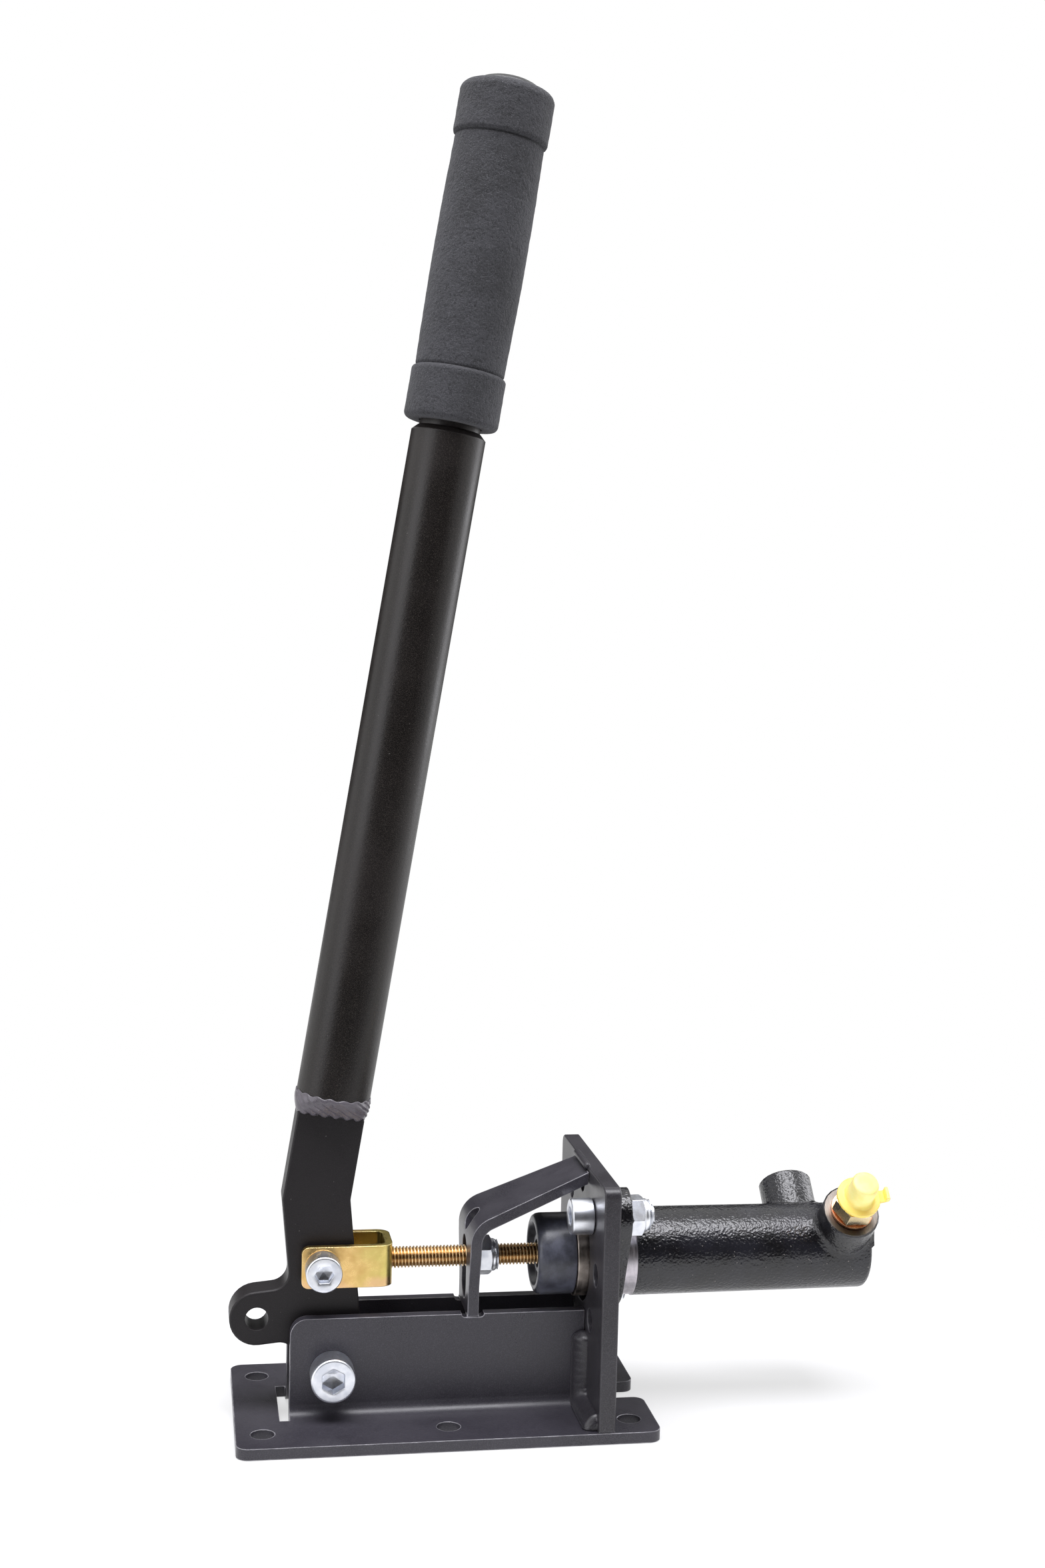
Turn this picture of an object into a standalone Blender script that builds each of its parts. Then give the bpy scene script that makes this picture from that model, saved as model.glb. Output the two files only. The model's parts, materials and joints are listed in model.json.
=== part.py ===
"""Upright hydraulic parking brake lever: a tube lever on a folded steel base that pushes a
master cylinder through a clevis and a threaded rod.

Metres, +Z up. +X runs from the lever to the cylinder and +Y to the far side. The origin lies
on the underside of the base, at the middle of its rear web. The lever is at rest, with the
lock nut of the rod on the guide brace.
"""

import math

import bmesh
import bpy
from mathutils import Matrix, Vector

# Clearances
SEAT = 0.0003
SHAFT_PLAY = 0.0003
BOLT_PLAY = 0.00025

# Folded base
SHEET = 0.004
BASE_LENGTH = 0.150
BASE_WIDTH = 0.080
BASE_REAR = 0.008
BASE_CORNER_R = 0.0045
FOLD_INNER_R = 0.004
CHANNEL_WIDTH = 0.015
WALL_HEIGHT = 0.039
WALL_REAR_CORNER_R = 0.006
TONGUE_GAP = 0.015
TONGUE_CORNER_R = 0.004
RELIEF_LENGTH = 0.0035
RELIEF_OVERHANG = 0.001
BASE_HOLE_D = 0.0085
BASE_HOLE_INSET = 0.0095
BASE_HOLE_SIDE = 0.0125

# Front plate
PLATE_SETBACK = 0.0172
PLATE_THICKNESS = 0.006
PLATE_TOP = 0.0919
PLATE_CORNER_R = 0.0035
PLATE_BORE_PLAY = 0.002
PLATE_HOLE_COUNT = 8
WELD_LEG = 0.005
WELD_CORNER_R = 0.002
WELD_TOP = 0.0315
WELD_EDGE_GAP = 0.0025
TOP_BEAD_R = 0.0014

# Guide brace
BRACE_SHEET = 0.004
BRACE_BEFORE_PLATE = 0.0395
BRACE_SLOPE = math.radians(22.5)
BRACE_INNER_R = 0.0065
BRACE_TOP_DROP = 0.0015
BRACE_NOTCH_DEPTH = 0.0013
BRACE_NOTCH_RELIEF_R = 0.0012
BRACE_BEND_HALF = 0.016
BRACE_PLATE_HALF = 0.012
BRACE_FLARE_START = 0.045
BRACE_SLOT_WIDTH = 0.0105
BRACE_SLOT_BOTTOM = 0.0415
BRACE_SLOT_ABOVE_ROD = 0.008
BRACE_HOLE_D = 0.009

# Lever
PIVOT_X = 0.0265
PIVOT_Z = 0.0195
LOWER_LEAN = math.radians(5.6)
UPPER_LEAN = math.radians(8.8)
BAR_WIDTH = 0.0242
BAR_THICKNESS = 0.012
KNEE_ALONG = 0.0615
KNEE_R = 0.004
EAR_ALONG = 0.0208
EAR_REACH = 0.0248
EAR_R = 0.0098
EAR_FILLET_R = 0.006
EAR_HOLE_D = 0.0084
SHOULDER_ALONG = 0.031
TONGUE_WIDTH = 0.018
TONGUE_LENGTH = 0.035
WELD_LENGTH = 0.0063
WELD_BULGE = 0.0002
TUBE_D = 0.0268
TUBE_BORE_D = 0.0226
TUBE_LENGTH = 0.241
TUBE_CHAMFER = 0.002
GRIP_TUBE_WALL = 0.002
GRIP_TUBE_INSERT = 0.060
GRIP_GAP = 0.0018
GRIP_LENGTH = 0.119
GRIP_R = 0.0162
GRIP_CROWN = 0.0003
GRIP_COLLAR_RISE = 0.0005
GRIP_COLLAR_LENGTH = 0.0185
GRIP_SEAM_DEPTH = 0.0007
GRIP_SEAM_HALF = 0.0009
GRIP_FOOT_ROUND = 0.002
GRIP_TOP_ROUND = 0.006
GRIP_END_LAND = 0.0008
PLUG_HEAD_R = 0.0112
PLUG_HEAD_HEIGHT = 0.003
PLUG_STEM_LENGTH = 0.014

# Fasteners: thread size, head or nut across, head height and key
PIVOT_THREAD = 0.010
PIVOT_HEAD_D = 0.0159
PIVOT_HEAD_HEIGHT = 0.0098
PIVOT_KEY = 0.008
PIVOT_NUT_AF = 0.017
PIVOT_NUT_HEIGHT = 0.010
ROD_THREAD = 0.008
CAP_HEAD_D = 0.013
CAP_HEAD_HEIGHT = 0.008
CAP_KEY = 0.006
LOCK_NUT_AF = 0.013
LOCK_NUT_HEIGHT = 0.0078
THREAD_SHOWING = 0.0015
BUSH_WALL = 0.0022
SPACER_THICKNESS = 0.0009
SPACER_R = 0.009

# Clevis and rod
PIN_ALONG = 0.0378
CLEVIS_SHEET = 0.0027
CLEVIS_WIDTH = 0.0204
CLEVIS_HEIGHT = 0.015
CLEVIS_BEHIND_PIN = 0.0075
CLEVIS_REACH = 0.0253
CLEVIS_CORNER_R = 0.0025
CLEVIS_BEND_R = 0.002
ROD_IN_CLEVIS = 0.0025

# Cylinder
FLANGE_THICKNESS = 0.0064
FLANGE_LOBE_R = 0.010
FLANGE_CENTRE_R = 0.0195
FLANGE_BOLT_CIRCLE_R = 0.0272
FLANGE_TURN = math.radians(45)
SPIGOT_R = 0.0156
SPIGOT_LENGTH = 0.0098
NECK_R = 0.0157
NECK_LENGTH = 0.0055
BARREL_R = 0.0161
BARREL_END_R = 0.0157
BARREL_LENGTH = 0.0898
BARREL_EDGE_R = 0.002
CYLINDER_BORE_R = 0.0095
CYLINDER_END_WALL = 0.0063
BOSS_FACING = 0.0003
INLET_BACK = 0.0245
INLET_BOSS_R = 0.010
INLET_FILLET_R = 0.002
INLET_HEIGHT = 0.027
INLET_PORT_R = 0.0062
INLET_PORT_DEPTH = 0.011
OUTLET_BACK = 0.0102
OUTLET_BOSS_R = 0.0106
OUTLET_FILLET_R = 0.004
OUTLET_HEIGHT = 0.0258
OUTLET_PORT_R = 0.0051
OUTLET_PORT_DEPTH = 0.010
PASSAGE_R = 0.0015

# Inside the cylinder
MOUTH_R = 0.0126
MOUTH_DEPTH = 0.0034
CIRCLIP_THICKNESS = 0.0015
CIRCLIP_R = 0.0103
CIRCLIP_BAND = 0.002
CIRCLIP_OPENING = math.radians(50)
STOP_WASHER_THICKNESS = 0.0012
STOP_WASHER_HOLE_R = 0.006
PISTON_LENGTH = 0.0745
PISTON_WAIST_R = 0.0065
PISTON_LAND = 0.0045
PISTON_SEAT_R = 0.0052
PISTON_SEAT_DEPTH = 0.008
PISTON_NOSE_R = 0.0045
PISTON_NOSE_LENGTH = 0.006
SEAL_LENGTH = 0.0044
SEAL_GROOVE_R = 0.0062
SPRING_R = 0.007
SPRING_WIRE_R = 0.0006
SPRING_TURNS = 4.5

# Boot
BOOT_LENGTH = 0.0140
BOOT_R = 0.0148
BOOT_FACE_R = 0.0129
BOOT_SHOULDER = 0.003
BOOT_WALL = 0.002
BOOT_LIP = 0.0026
BOOT_ROD_PLAY = 0.0011
BOOT_SLEEVE_LENGTH = 0.007

# Outlet fitting and cap
WASHER_R = 0.0078
WASHER_THICKNESS = 0.0012
FITTING_AF = 0.014
FITTING_HEX_HEIGHT = 0.0074
FITTING_NECK_R = 0.0036
FITTING_NECK_LENGTH = 0.008
FITTING_BORE_R = 0.0016
CAP_RIM_R = 0.0081
CAP_RIM_THICKNESS = 0.0016
CAP_KNOB_R = 0.0052
CAP_KNOB_TOP_R = 0.005
CAP_HEIGHT = 0.0117
CAP_TAB_REACH = 0.0028
CAP_TAB_RISE = 0.0024
CAP_TAB_WIDTH = 0.0048
CAP_TAB_THICKNESS = 0.0013

# Derived places
WALL_INNER = CHANNEL_WIDTH / 2
WALL_OUTER = WALL_INNER + SHEET
FOLD_OUTER_R = FOLD_INNER_R + SHEET
FOLD_CENTRE_Y = WALL_INNER + FOLD_OUTER_R
BASE_FRONT = BASE_LENGTH - BASE_REAR
WALL_REAR_X = BASE_REAR + RELIEF_LENGTH
PLATE_BACK_X = BASE_FRONT - PLATE_SETBACK
PLATE_X = PLATE_BACK_X - PLATE_THICKNESS
WALL_FRONT_X = PLATE_X - SEAT
PLATE_FOOT_Z = SHEET + SEAT
PIVOT = Vector((PIVOT_X, 0, PIVOT_Z))
KNEE = PIVOT + KNEE_ALONG * Vector((-math.sin(LOWER_LEAN), 0, math.cos(LOWER_LEAN)))
PIN = PIVOT + PIN_ALONG * Vector((-math.sin(LOWER_LEAN), 0, math.cos(LOWER_LEAN)))
ROD_Z = PIN.z
BAR_HALF = BAR_WIDTH / 2
TUBE_START = SHOULDER_ALONG + SEAT + WELD_LENGTH + SEAT
TUBE_END = TUBE_START + TUBE_LENGTH
GRIP_START = TUBE_END + GRIP_GAP
GRIP_END = GRIP_START + GRIP_LENGTH
GRIP_TUBE_R = TUBE_BORE_D / 2 - SHAFT_PLAY
BRACE_OUTER_R = BRACE_INNER_R + BRACE_SHEET
BRACE_BACK_X = PLATE_X - BRACE_BEFORE_PLATE
BRACE_X = BRACE_BACK_X - BRACE_SHEET
BRACE_FOOT_Z = WALL_HEIGHT - BRACE_NOTCH_DEPTH + SEAT
BRACE_SLOT_TOP = ROD_Z + BRACE_SLOT_ABOVE_ROD
CLEVIS_X0 = PIN.x - CLEVIS_BEHIND_PIN
CLEVIS_X1 = PIN.x + CLEVIS_REACH
CLEVIS_INNER = CLEVIS_WIDTH / 2 - CLEVIS_SHEET
FLANGE_X = PLATE_BACK_X + SEAT
FLANGE_BACK_X = FLANGE_X + FLANGE_THICKNESS
SPIGOT_X = FLANGE_X - SPIGOT_LENGTH - SEAT
BARREL_X = FLANGE_BACK_X + NECK_LENGTH
BARREL_END_X = BARREL_X + BARREL_LENGTH
BORE_END_X = BARREL_END_X - CYLINDER_END_WALL
INLET_X = BARREL_END_X - INLET_BACK
OUTLET_X = BARREL_END_X - OUTLET_BACK
MOUTH_END_X = SPIGOT_X + MOUTH_DEPTH
CIRCLIP_X = MOUTH_END_X + CIRCLIP_THICKNESS + SEAT
STOP_WASHER_X = CIRCLIP_X + CIRCLIP_THICKNESS + 2 * SEAT
PISTON_X = STOP_WASHER_X + STOP_WASHER_THICKNESS + SEAT
PISTON_FACE_X = PISTON_X + PISTON_LENGTH
LAND_R = CYLINDER_BORE_R - SHAFT_PLAY
NOSE_END_X = PISTON_FACE_X + PISTON_NOSE_LENGTH
SEAL_FACE_X = PISTON_FACE_X + SEAT + SEAL_LENGTH
BOOT_X = SPIGOT_X - SEAT - BOOT_LENGTH
ROD_R = ROD_THREAD / 2
ROD_START_X = CLEVIS_X1 - CLEVIS_SHEET - ROD_IN_CLEVIS
ROD_END_X = PISTON_X + PISTON_SEAT_DEPTH - SEAT
CYLINDER_AXIS = Vector((0, 0, ROD_Z))
INLET_UP = Vector((0, math.sin(FLANGE_TURN), math.cos(FLANGE_TURN)))
OUTLET_UP = Vector((0, -math.sin(FLANGE_TURN), math.cos(FLANGE_TURN)))

X_AXIS = Vector((1, 0, 0))
Y_AXIS = Vector((0, 1, 0))
Z_AXIS = Vector((0, 0, 1))
ROUND = 32
BARREL_ROUND = 40
SMALL_ROUND = 24
ARC_STEP = math.radians(11.25)
# Crossing round shapes are turned by this, so that no edge of one meets an edge of the other
FACET_TURN = math.radians(4)
SMOOTH_BELOW = math.radians(32)

LOOKS = {
    # name: colour, roughness, metallic
    "black_powder_coat": ((0.035, 0.034, 0.037), 0.42, 0.0),
    "black_lever_coat": ((0.025, 0.024, 0.026), 0.45, 0.0),
    "grip_foam": ((0.030, 0.030, 0.032), 0.85, 0.0),
    "black_moulding": ((0.020, 0.020, 0.021), 0.35, 0.0),
    "bright_zinc": ((0.62, 0.62, 0.63), 0.28, 1.0),
    "yellow_zinc": ((0.66, 0.44, 0.16), 0.30, 1.0),
    "bronze_bush": ((0.45, 0.30, 0.14), 0.35, 1.0),
    "cast_black": ((0.018, 0.018, 0.020), 0.32, 0.0),
    "black_rubber": ((0.018, 0.018, 0.018), 0.60, 0.0),
    "turned_aluminium": ((0.70, 0.70, 0.71), 0.30, 1.0),
    "spring_steel": ((0.40, 0.40, 0.42), 0.35, 1.0),
    "soft_copper": ((0.60, 0.28, 0.12), 0.32, 1.0),
    "yellow_plastic": ((0.85, 0.72, 0.16), 0.40, 0.0),
}


def clear_scene():
    for obj in list(bpy.data.objects):
        bpy.data.objects.remove(obj, do_unlink=True)


def look(name):
    """The named material, made once."""
    found = bpy.data.materials.get(name)
    if found:
        return found
    colour, roughness, metallic = LOOKS[name]
    made = bpy.data.materials.new(name)
    made.use_nodes = True
    shader = made.node_tree.nodes["Principled BSDF"]
    shader.inputs["Base Color"].default_value = (*colour, 1.0)
    shader.inputs["Roughness"].default_value = roughness
    shader.inputs["Metallic"].default_value = metallic
    return made


# Frames: a matrix whose local X and Y carry an outline and whose local Z is its depth or axis


def frame_at(origin, across, up):
    across = across.normalized()
    depth = across.cross(up).normalized()
    up = depth.cross(across)
    turn = Matrix((across, up, depth)).transposed().to_4x4()
    return Matrix.Translation(origin) @ turn


def axis_frame(origin, along, across=Y_AXIS):
    """Local Z runs along the given axis."""
    return frame_at(origin, across, along.cross(across))


def plan(z=0.0):
    return frame_at(Vector((0, 0, z)), X_AXIS, Y_AXIS)


def side():
    """Local X and Y are the world's X and Z, and local Z points at the near side."""
    return frame_at(Vector((0, 0, 0)), X_AXIS, Z_AXIS)


def front(x=0.0):
    """Local X and Y are the world's Y and Z, and local Z is the world's X."""
    return frame_at(Vector((x, 0, 0)), Y_AXIS, Z_AXIS)


def lever_frame():
    """Local Z runs up the lever's upper axis from the knee."""
    along = Vector((math.sin(UPPER_LEAN), 0, math.cos(UPPER_LEAN)))
    return axis_frame(KNEE, along)


# Outlines


def arc(centre, radius, start, end):
    """Points of an arc from start to end, in radians, both ends included."""
    steps = max(2, math.ceil(abs(end - start) / ARC_STEP))
    angles = [start + (end - start) * i / steps for i in range(steps + 1)]
    return [(centre[0] + radius * math.cos(a), centre[1] + radius * math.sin(a)) for a in angles]


def disc(centre, radius, count=SMALL_ROUND):
    angles = [math.tau * i / count for i in range(count)]
    return [(centre[0] + radius * math.cos(a), centre[1] + radius * math.sin(a)) for a in angles]


def fillet(before, corner, after, radius):
    """Arc points that round a corner between two straight runs."""
    corner = Vector(corner[:2])
    back = (Vector(before[:2]) - corner).normalized()
    ahead = (Vector(after[:2]) - corner).normalized()
    half = back.angle(ahead) / 2
    centre = corner + (back + ahead).normalized() * radius / math.sin(half)
    first = corner + back * radius / math.tan(half) - centre
    last = corner + ahead * radius / math.tan(half) - centre
    start = math.atan2(first.y, first.x)
    sweep = math.atan2(first.x * last.y - first.y * last.x, first.dot(last))
    return arc(centre, radius, start, start + sweep)


def outline(*items):
    """Closed outline of points (x, y), rounded corners (x, y, radius) and lists of points."""
    corners = []
    for item in items:
        corners.extend(item if isinstance(item, list) else [item])
    points = []
    for i, corner in enumerate(corners):
        if len(corner) == 3 and corner[2] > 0:
            after = corners[(i + 1) % len(corners)]
            points.extend(fillet(corners[i - 1], corner, after, corner[2]))
        else:
            points.append(corner[:2])
    return points


def box_outline(x0, x1, y0, y1, radius=0.0):
    return outline((x0, y0, radius), (x1, y0, radius), (x1, y1, radius), (x0, y1, radius))


def slot_outline(centre_x, half, low, high):
    """Upright slot with round ends."""
    top = arc((centre_x, high - half), half, 0, math.pi)
    bottom = arc((centre_x, low + half), half, math.pi, math.tau)
    return top + bottom


def wrap_outline(circles, count=72):
    """Convex outline drawn tight round circles given as (x, y, radius)."""
    points = []
    for i in range(count):
        angle = math.tau * i / count
        nx, ny = math.cos(angle), math.sin(angle)
        x, y, r = max(circles, key=lambda c: c[0] * nx + c[1] * ny + c[2])
        points.append((x + r * nx, y + r * ny))
    return points


# Solids in local coordinates


def extruded(points, low, high):
    """Prism of an outline between two depths."""
    bm = bmesh.new()
    ring = [bm.verts.new((x, y, low)) for x, y in points]
    base = bm.faces.new(ring)
    grown = bmesh.ops.extrude_face_region(bm, geom=[base])["geom"]
    top = [v for v in grown if isinstance(v, bmesh.types.BMVert)]
    bmesh.ops.translate(bm, verts=top, vec=(0, 0, high - low))
    bmesh.ops.recalc_face_normals(bm, faces=bm.faces)
    return bm


def turned(profile, count=ROUND, ring=False):
    """Profile of (along, radius) spun about local Z. A ring's profile is a closed loop."""
    bm = bmesh.new()
    verts = [bm.verts.new((r, 0, z)) for z, r in profile]
    pairs = list(zip(verts, verts[1:]))
    if ring:
        pairs.append((verts[-1], verts[0]))
    edges = [bm.edges.new(pair) for pair in pairs]
    bmesh.ops.spin(
        bm, geom=verts + edges, cent=(0, 0, 0), axis=(0, 0, 1), angle=math.tau, steps=count, use_merge=True
    )
    bmesh.ops.remove_doubles(bm, verts=bm.verts, dist=1e-7)
    bmesh.ops.recalc_face_normals(bm, faces=bm.faces)
    return bm


def rod_of(radius, low, high, count=SMALL_ROUND):
    return turned([(low, 0), (low, radius), (high, radius), (high, 0)], count)


def lofted(rings, closed=False):
    """Skin over rings of equal count, capped at both ends or closed into a loop."""
    bm = bmesh.new()
    rows = [[bm.verts.new(point) for point in ring] for ring in rings]
    pairs = list(zip(rows, rows[1:]))
    if closed:
        pairs.append((rows[-1], rows[0]))
    for low, high in pairs:
        for i in range(len(low)):
            j = (i + 1) % len(low)
            bm.faces.new((low[i], low[j], high[j], high[i]))
    if not closed:
        bm.faces.new(rows[0])
        bm.faces.new(rows[-1])
    bmesh.ops.recalc_face_normals(bm, faces=bm.faces)
    return bm


def round_ring(radius, z, count=SMALL_ROUND):
    return [(x, y, z) for x, y in disc((0, 0), radius, count)]


def hex_ring(across_flats, z, count=SMALL_ROUND, turn=0.0):
    """Hexagon with as many points as a round ring, its corners turned from local X."""
    points = []
    sixth = math.tau / 6
    for i in range(count):
        angle = math.tau * i / count
        radius = across_flats / 2 / math.cos((angle - turn) % sixth - sixth / 2)
        points.append((radius * math.cos(angle), radius * math.sin(angle), z))
    return points


def squarish_ring(half_x, half_y, power, z, count=32):
    """Superellipse: power 2 is an ellipse, and a high power is nearly a rectangle."""
    points = []
    for i in range(count):
        c = math.cos(math.tau * i / count)
        s = math.sin(math.tau * i / count)
        x = half_x * math.copysign(abs(c) ** (2 / power), c)
        y = half_y * math.copysign(abs(s) ** (2 / power), s)
        points.append((x, y, z))
    return points


def cap_screw(thread, head_d, head_height, key, length, turn=0.0):
    """Socket cap screw: local Z runs from the head's seat, at 0, down the shank to its end."""
    edge = head_d * 0.05
    lead = thread * 0.08
    depth = head_height * 0.5
    return lofted([
        round_ring(thread / 2 - lead, length),
        round_ring(thread / 2, length - lead),
        round_ring(thread / 2, 0),
        round_ring(head_d / 2, 0),
        round_ring(head_d / 2, -head_height + edge),
        round_ring(head_d / 2 - edge, -head_height),
        hex_ring(key, -head_height, turn=turn),
        hex_ring(key, -head_height + depth, turn=turn),
        round_ring(key * 0.1, -head_height + depth + key * 0.2),
    ])


def lock_nut(across_flats, height, bore_r):
    """Nut with a plain hexagon below and the round collar of its insert above."""
    hexagon = height * 0.68
    edge = across_flats * 0.03
    collar_r = across_flats / 2 - 1.5 * edge
    return lofted([
        round_ring(bore_r, 0),
        round_ring(across_flats / 2 - edge, 0),
        hex_ring(across_flats, edge),
        hex_ring(across_flats, hexagon - edge),
        round_ring(across_flats / 2 - edge / 2, hexagon),
        round_ring(collar_r, hexagon + edge / 2),
        round_ring(collar_r - edge / 2, height - 3 * edge),
        round_ring(collar_r - 1.2 * edge, height - edge),
        round_ring(collar_r - 3 * edge, height),
        round_ring(bore_r, height),
    ], closed=True)


def capsule(radius, length, count=12):
    """Weld bead along local Z with round ends, centred."""
    half = length / 2 - radius
    low = [(-half + radius * math.sin(a), radius * math.cos(a)) for a in (-math.pi / 4, 0)]
    high = [(half + radius * math.sin(a), radius * math.cos(a)) for a in (0, math.pi / 4)]
    return turned([(-half - radius, 0)] + low + high + [(half + radius, 0)], count)


# Objects

PLACES = {}


def new_object(name, bm, frame):
    mesh = bpy.data.meshes.new(name)
    bm.to_mesh(mesh)
    bm.free()
    mesh.shade_smooth()
    mesh.set_sharp_from_angle(angle=SMOOTH_BELOW)
    obj = bpy.data.objects.new(name, mesh)
    bpy.context.scene.collection.objects.link(obj)
    obj.matrix_world = frame
    PLACES[obj] = frame
    return obj


def hang(obj, parent):
    """Parents an object, as to its joint's empty, and keeps it where it is."""
    obj.parent = parent
    obj.matrix_parent_inverse = PLACES[parent].inverted()
    obj.matrix_basis = PLACES[obj]


def add_part(name, bm, frame, finish, joint=None):
    obj = new_object(name, bm, frame)
    obj.data.materials.append(look(finish))
    if joint:
        hang(obj, joint)
    return obj


def add_empty(name, place, parent=None):
    empty = bpy.data.objects.new(name, None)
    empty.empty_display_size = 0.01
    bpy.context.scene.collection.objects.link(empty)
    PLACES[empty] = Matrix.Translation(place)
    empty.matrix_world = PLACES[empty]
    if parent:
        hang(empty, parent)
    return empty


def combine(obj, bm, frame, operation):
    """Boolean with a helper solid that travels with the object."""
    helper = new_object(f"{obj.name}_{operation.lower()}_{len(obj.modifiers)}", bm, frame)
    helper.hide_render = True
    helper.display_type = "WIRE"
    hang(helper, obj)
    modifier = obj.modifiers.new(helper.name, "BOOLEAN")
    modifier.operation = operation
    modifier.solver = "EXACT"
    modifier.object = helper


def cut(obj, bm, frame):
    combine(obj, bm, frame, "DIFFERENCE")


def join(obj, bm, frame):
    combine(obj, bm, frame, "UNION")


def ease_edges(obj, width, segments=1):
    """Breaks the sharp edges of the plain shape, before its cuts."""
    modifier = obj.modifiers.new("eased_edges", "BEVEL")
    modifier.width = width
    modifier.segments = segments
    modifier.limit_method = "ANGLE"
    modifier.angle_limit = math.radians(40)


def cross_hole(obj, centre, radius, half_length):
    """Round hole across the part, along world Y."""
    hole = rod_of(radius, -half_length, half_length)
    cut(obj, hole, axis_frame(centre, Y_AXIS, X_AXIS))


# Base


def base_outline():
    half = BASE_WIDTH / 2
    gap = TONGUE_GAP / 2
    relief = FOLD_CENTRE_Y + RELIEF_OVERHANG
    near = [
        (-BASE_REAR, -half, BASE_CORNER_R),
        (BASE_FRONT, -half, BASE_CORNER_R),
        (BASE_FRONT, -gap, TONGUE_CORNER_R),
        (WALL_FRONT_X, -gap),
        (WALL_FRONT_X, -FOLD_CENTRE_Y),
        (WALL_REAR_X, -FOLD_CENTRE_Y),
        (WALL_REAR_X, -relief),
        (BASE_REAR, -relief),
    ]
    far = [(c[0], -c[1], *c[2:]) for c in reversed(near)]
    return outline(*near, *far)


def fold_outline(sign):
    """Section of one L fold: flange, bend and wall."""
    centre = (-FOLD_CENTRE_Y, FOLD_OUTER_R)
    flat = FOLD_CENTRE_Y + SHEET
    section = outline(
        (-flat, 0),
        arc(centre, FOLD_OUTER_R, -math.pi / 2, 0),
        (-WALL_INNER, WALL_HEIGHT),
        (-WALL_OUTER, WALL_HEIGHT),
        arc(centre, FOLD_INNER_R, 0, -math.pi / 2),
        (-flat, SHEET),
    )
    return [(-sign * y, z) for y, z in section]


def base_hole_places():
    side_y = BASE_WIDTH / 2 - BASE_HOLE_SIDE
    rear = -BASE_REAR + BASE_HOLE_INSET
    ahead = BASE_FRONT - BASE_HOLE_INSET
    for x in (rear, (rear + ahead) / 2, ahead):
        for y in (-side_y, side_y):
            yield x, y


def notch_outline():
    """The brace's notch, with a round relief on each side at the wall's top edge."""
    top = WALL_HEIGHT + SHEET
    low = WALL_HEIGHT - BRACE_NOTCH_DEPTH
    relief = BRACE_NOTCH_RELIEF_R
    left = BRACE_X - SEAT
    right = BRACE_BACK_X + SEAT
    return outline(
        (left, low),
        (right, low),
        (right, WALL_HEIGHT - relief),
        arc((right + relief / 2, WALL_HEIGHT), relief, -math.pi / 2, 0),
        (right + relief * 1.5, top),
        (left - relief * 1.5, top),
        arc((left - relief / 2, WALL_HEIGHT), relief, math.pi, math.pi * 1.5),
        (left, WALL_HEIGHT - relief),
    )


def make_base():
    base = add_part("base_frame", extruded(base_outline(), 0, SHEET), plan(), "black_powder_coat")
    for sign in (-1, 1):
        fold = extruded(fold_outline(sign), WALL_REAR_X, WALL_FRONT_X)
        join(base, fold, front())
    across = BASE_WIDTH / 2
    corner = WALL_REAR_CORNER_R
    out = 0.002
    trimming = outline(
        (WALL_REAR_X - out, WALL_HEIGHT - corner),
        arc((WALL_REAR_X + corner, WALL_HEIGHT - corner), corner, math.pi, math.pi / 2),
        (WALL_REAR_X + corner, WALL_HEIGHT + out),
        (WALL_REAR_X - out, WALL_HEIGHT + out),
    )
    cut(base, extruded(trimming, -across, across), side())
    cut(base, extruded(notch_outline(), -across, across), side())
    for x, y in base_hole_places():
        hole = rod_of(BASE_HOLE_D / 2, -SHEET, 2 * SHEET)
        cut(base, hole, axis_frame(Vector((x, y, 0)), Z_AXIS))
    cross_hole(base, PIVOT, PIVOT_THREAD / 2 + BOLT_PLAY, across)


# Front plate


def bolt_places():
    """Near upper and far lower bolt of the flange, as (y, z)."""
    reach = FLANGE_BOLT_CIRCLE_R
    for sign in (-1, 1):
        yield sign * reach * math.sin(FLANGE_TURN), ROD_Z - sign * reach * math.cos(FLANGE_TURN)


def weld_path():
    """Root and toe of the weld as (y, z), down the wall, round its fold and out along the base.

    Each place has the share of the full leg that the bead has there.
    """
    wall = WALL_OUTER + SEAT
    floor = PLATE_FOOT_Z
    toe_y = wall + WELD_LEG
    toe_z = floor + WELD_LEG
    turn = Vector((FOLD_CENTRE_Y, FOLD_OUTER_R))
    corner = Vector((toe_y + WELD_CORNER_R, toe_z + WELD_CORNER_R))
    inner = FOLD_INNER_R - SEAT
    edge = BASE_WIDTH / 2 - WELD_EDGE_GAP
    fading = ((0, 0.4), (0.0009, 0.8), (0.0024, 1.0))
    path = []
    for back, share in fading:
        z = WELD_TOP - back
        path.append((Vector((wall, z)), Vector((wall + WELD_LEG * share, z)), share))
    for i in range(5):
        angle = math.pi + math.pi / 2 * i / 4
        ray = Vector((math.cos(angle), math.sin(angle)))
        path.append((turn + ray * inner, corner + ray * WELD_CORNER_R, 1.0))
    for back, share in reversed(fading):
        y = edge - back
        path.append((Vector((y, floor)), Vector((y, floor + WELD_LEG * share)), share))
    return path


def corner_weld(sign):
    """Fillet weld between the plate's rear face and one L fold, with a slightly full face."""
    sunk = 0.001
    rings = []
    for root, toe, share in weld_path():
        across = toe - root
        leg = WELD_LEG * share
        face = [
            (across, -sunk), (across, 0.0003), (across * 0.7, leg * 0.42),
            (across * 0.38, leg * 0.74), (across * 0.05, leg), (across * 0, leg), (across * 0, -sunk),
        ]
        rings.append([
            (PLATE_X - out, sign * (root.x + reach.x), root.y + reach.y) for reach, out in face
        ])
    return lofted(rings)


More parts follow.
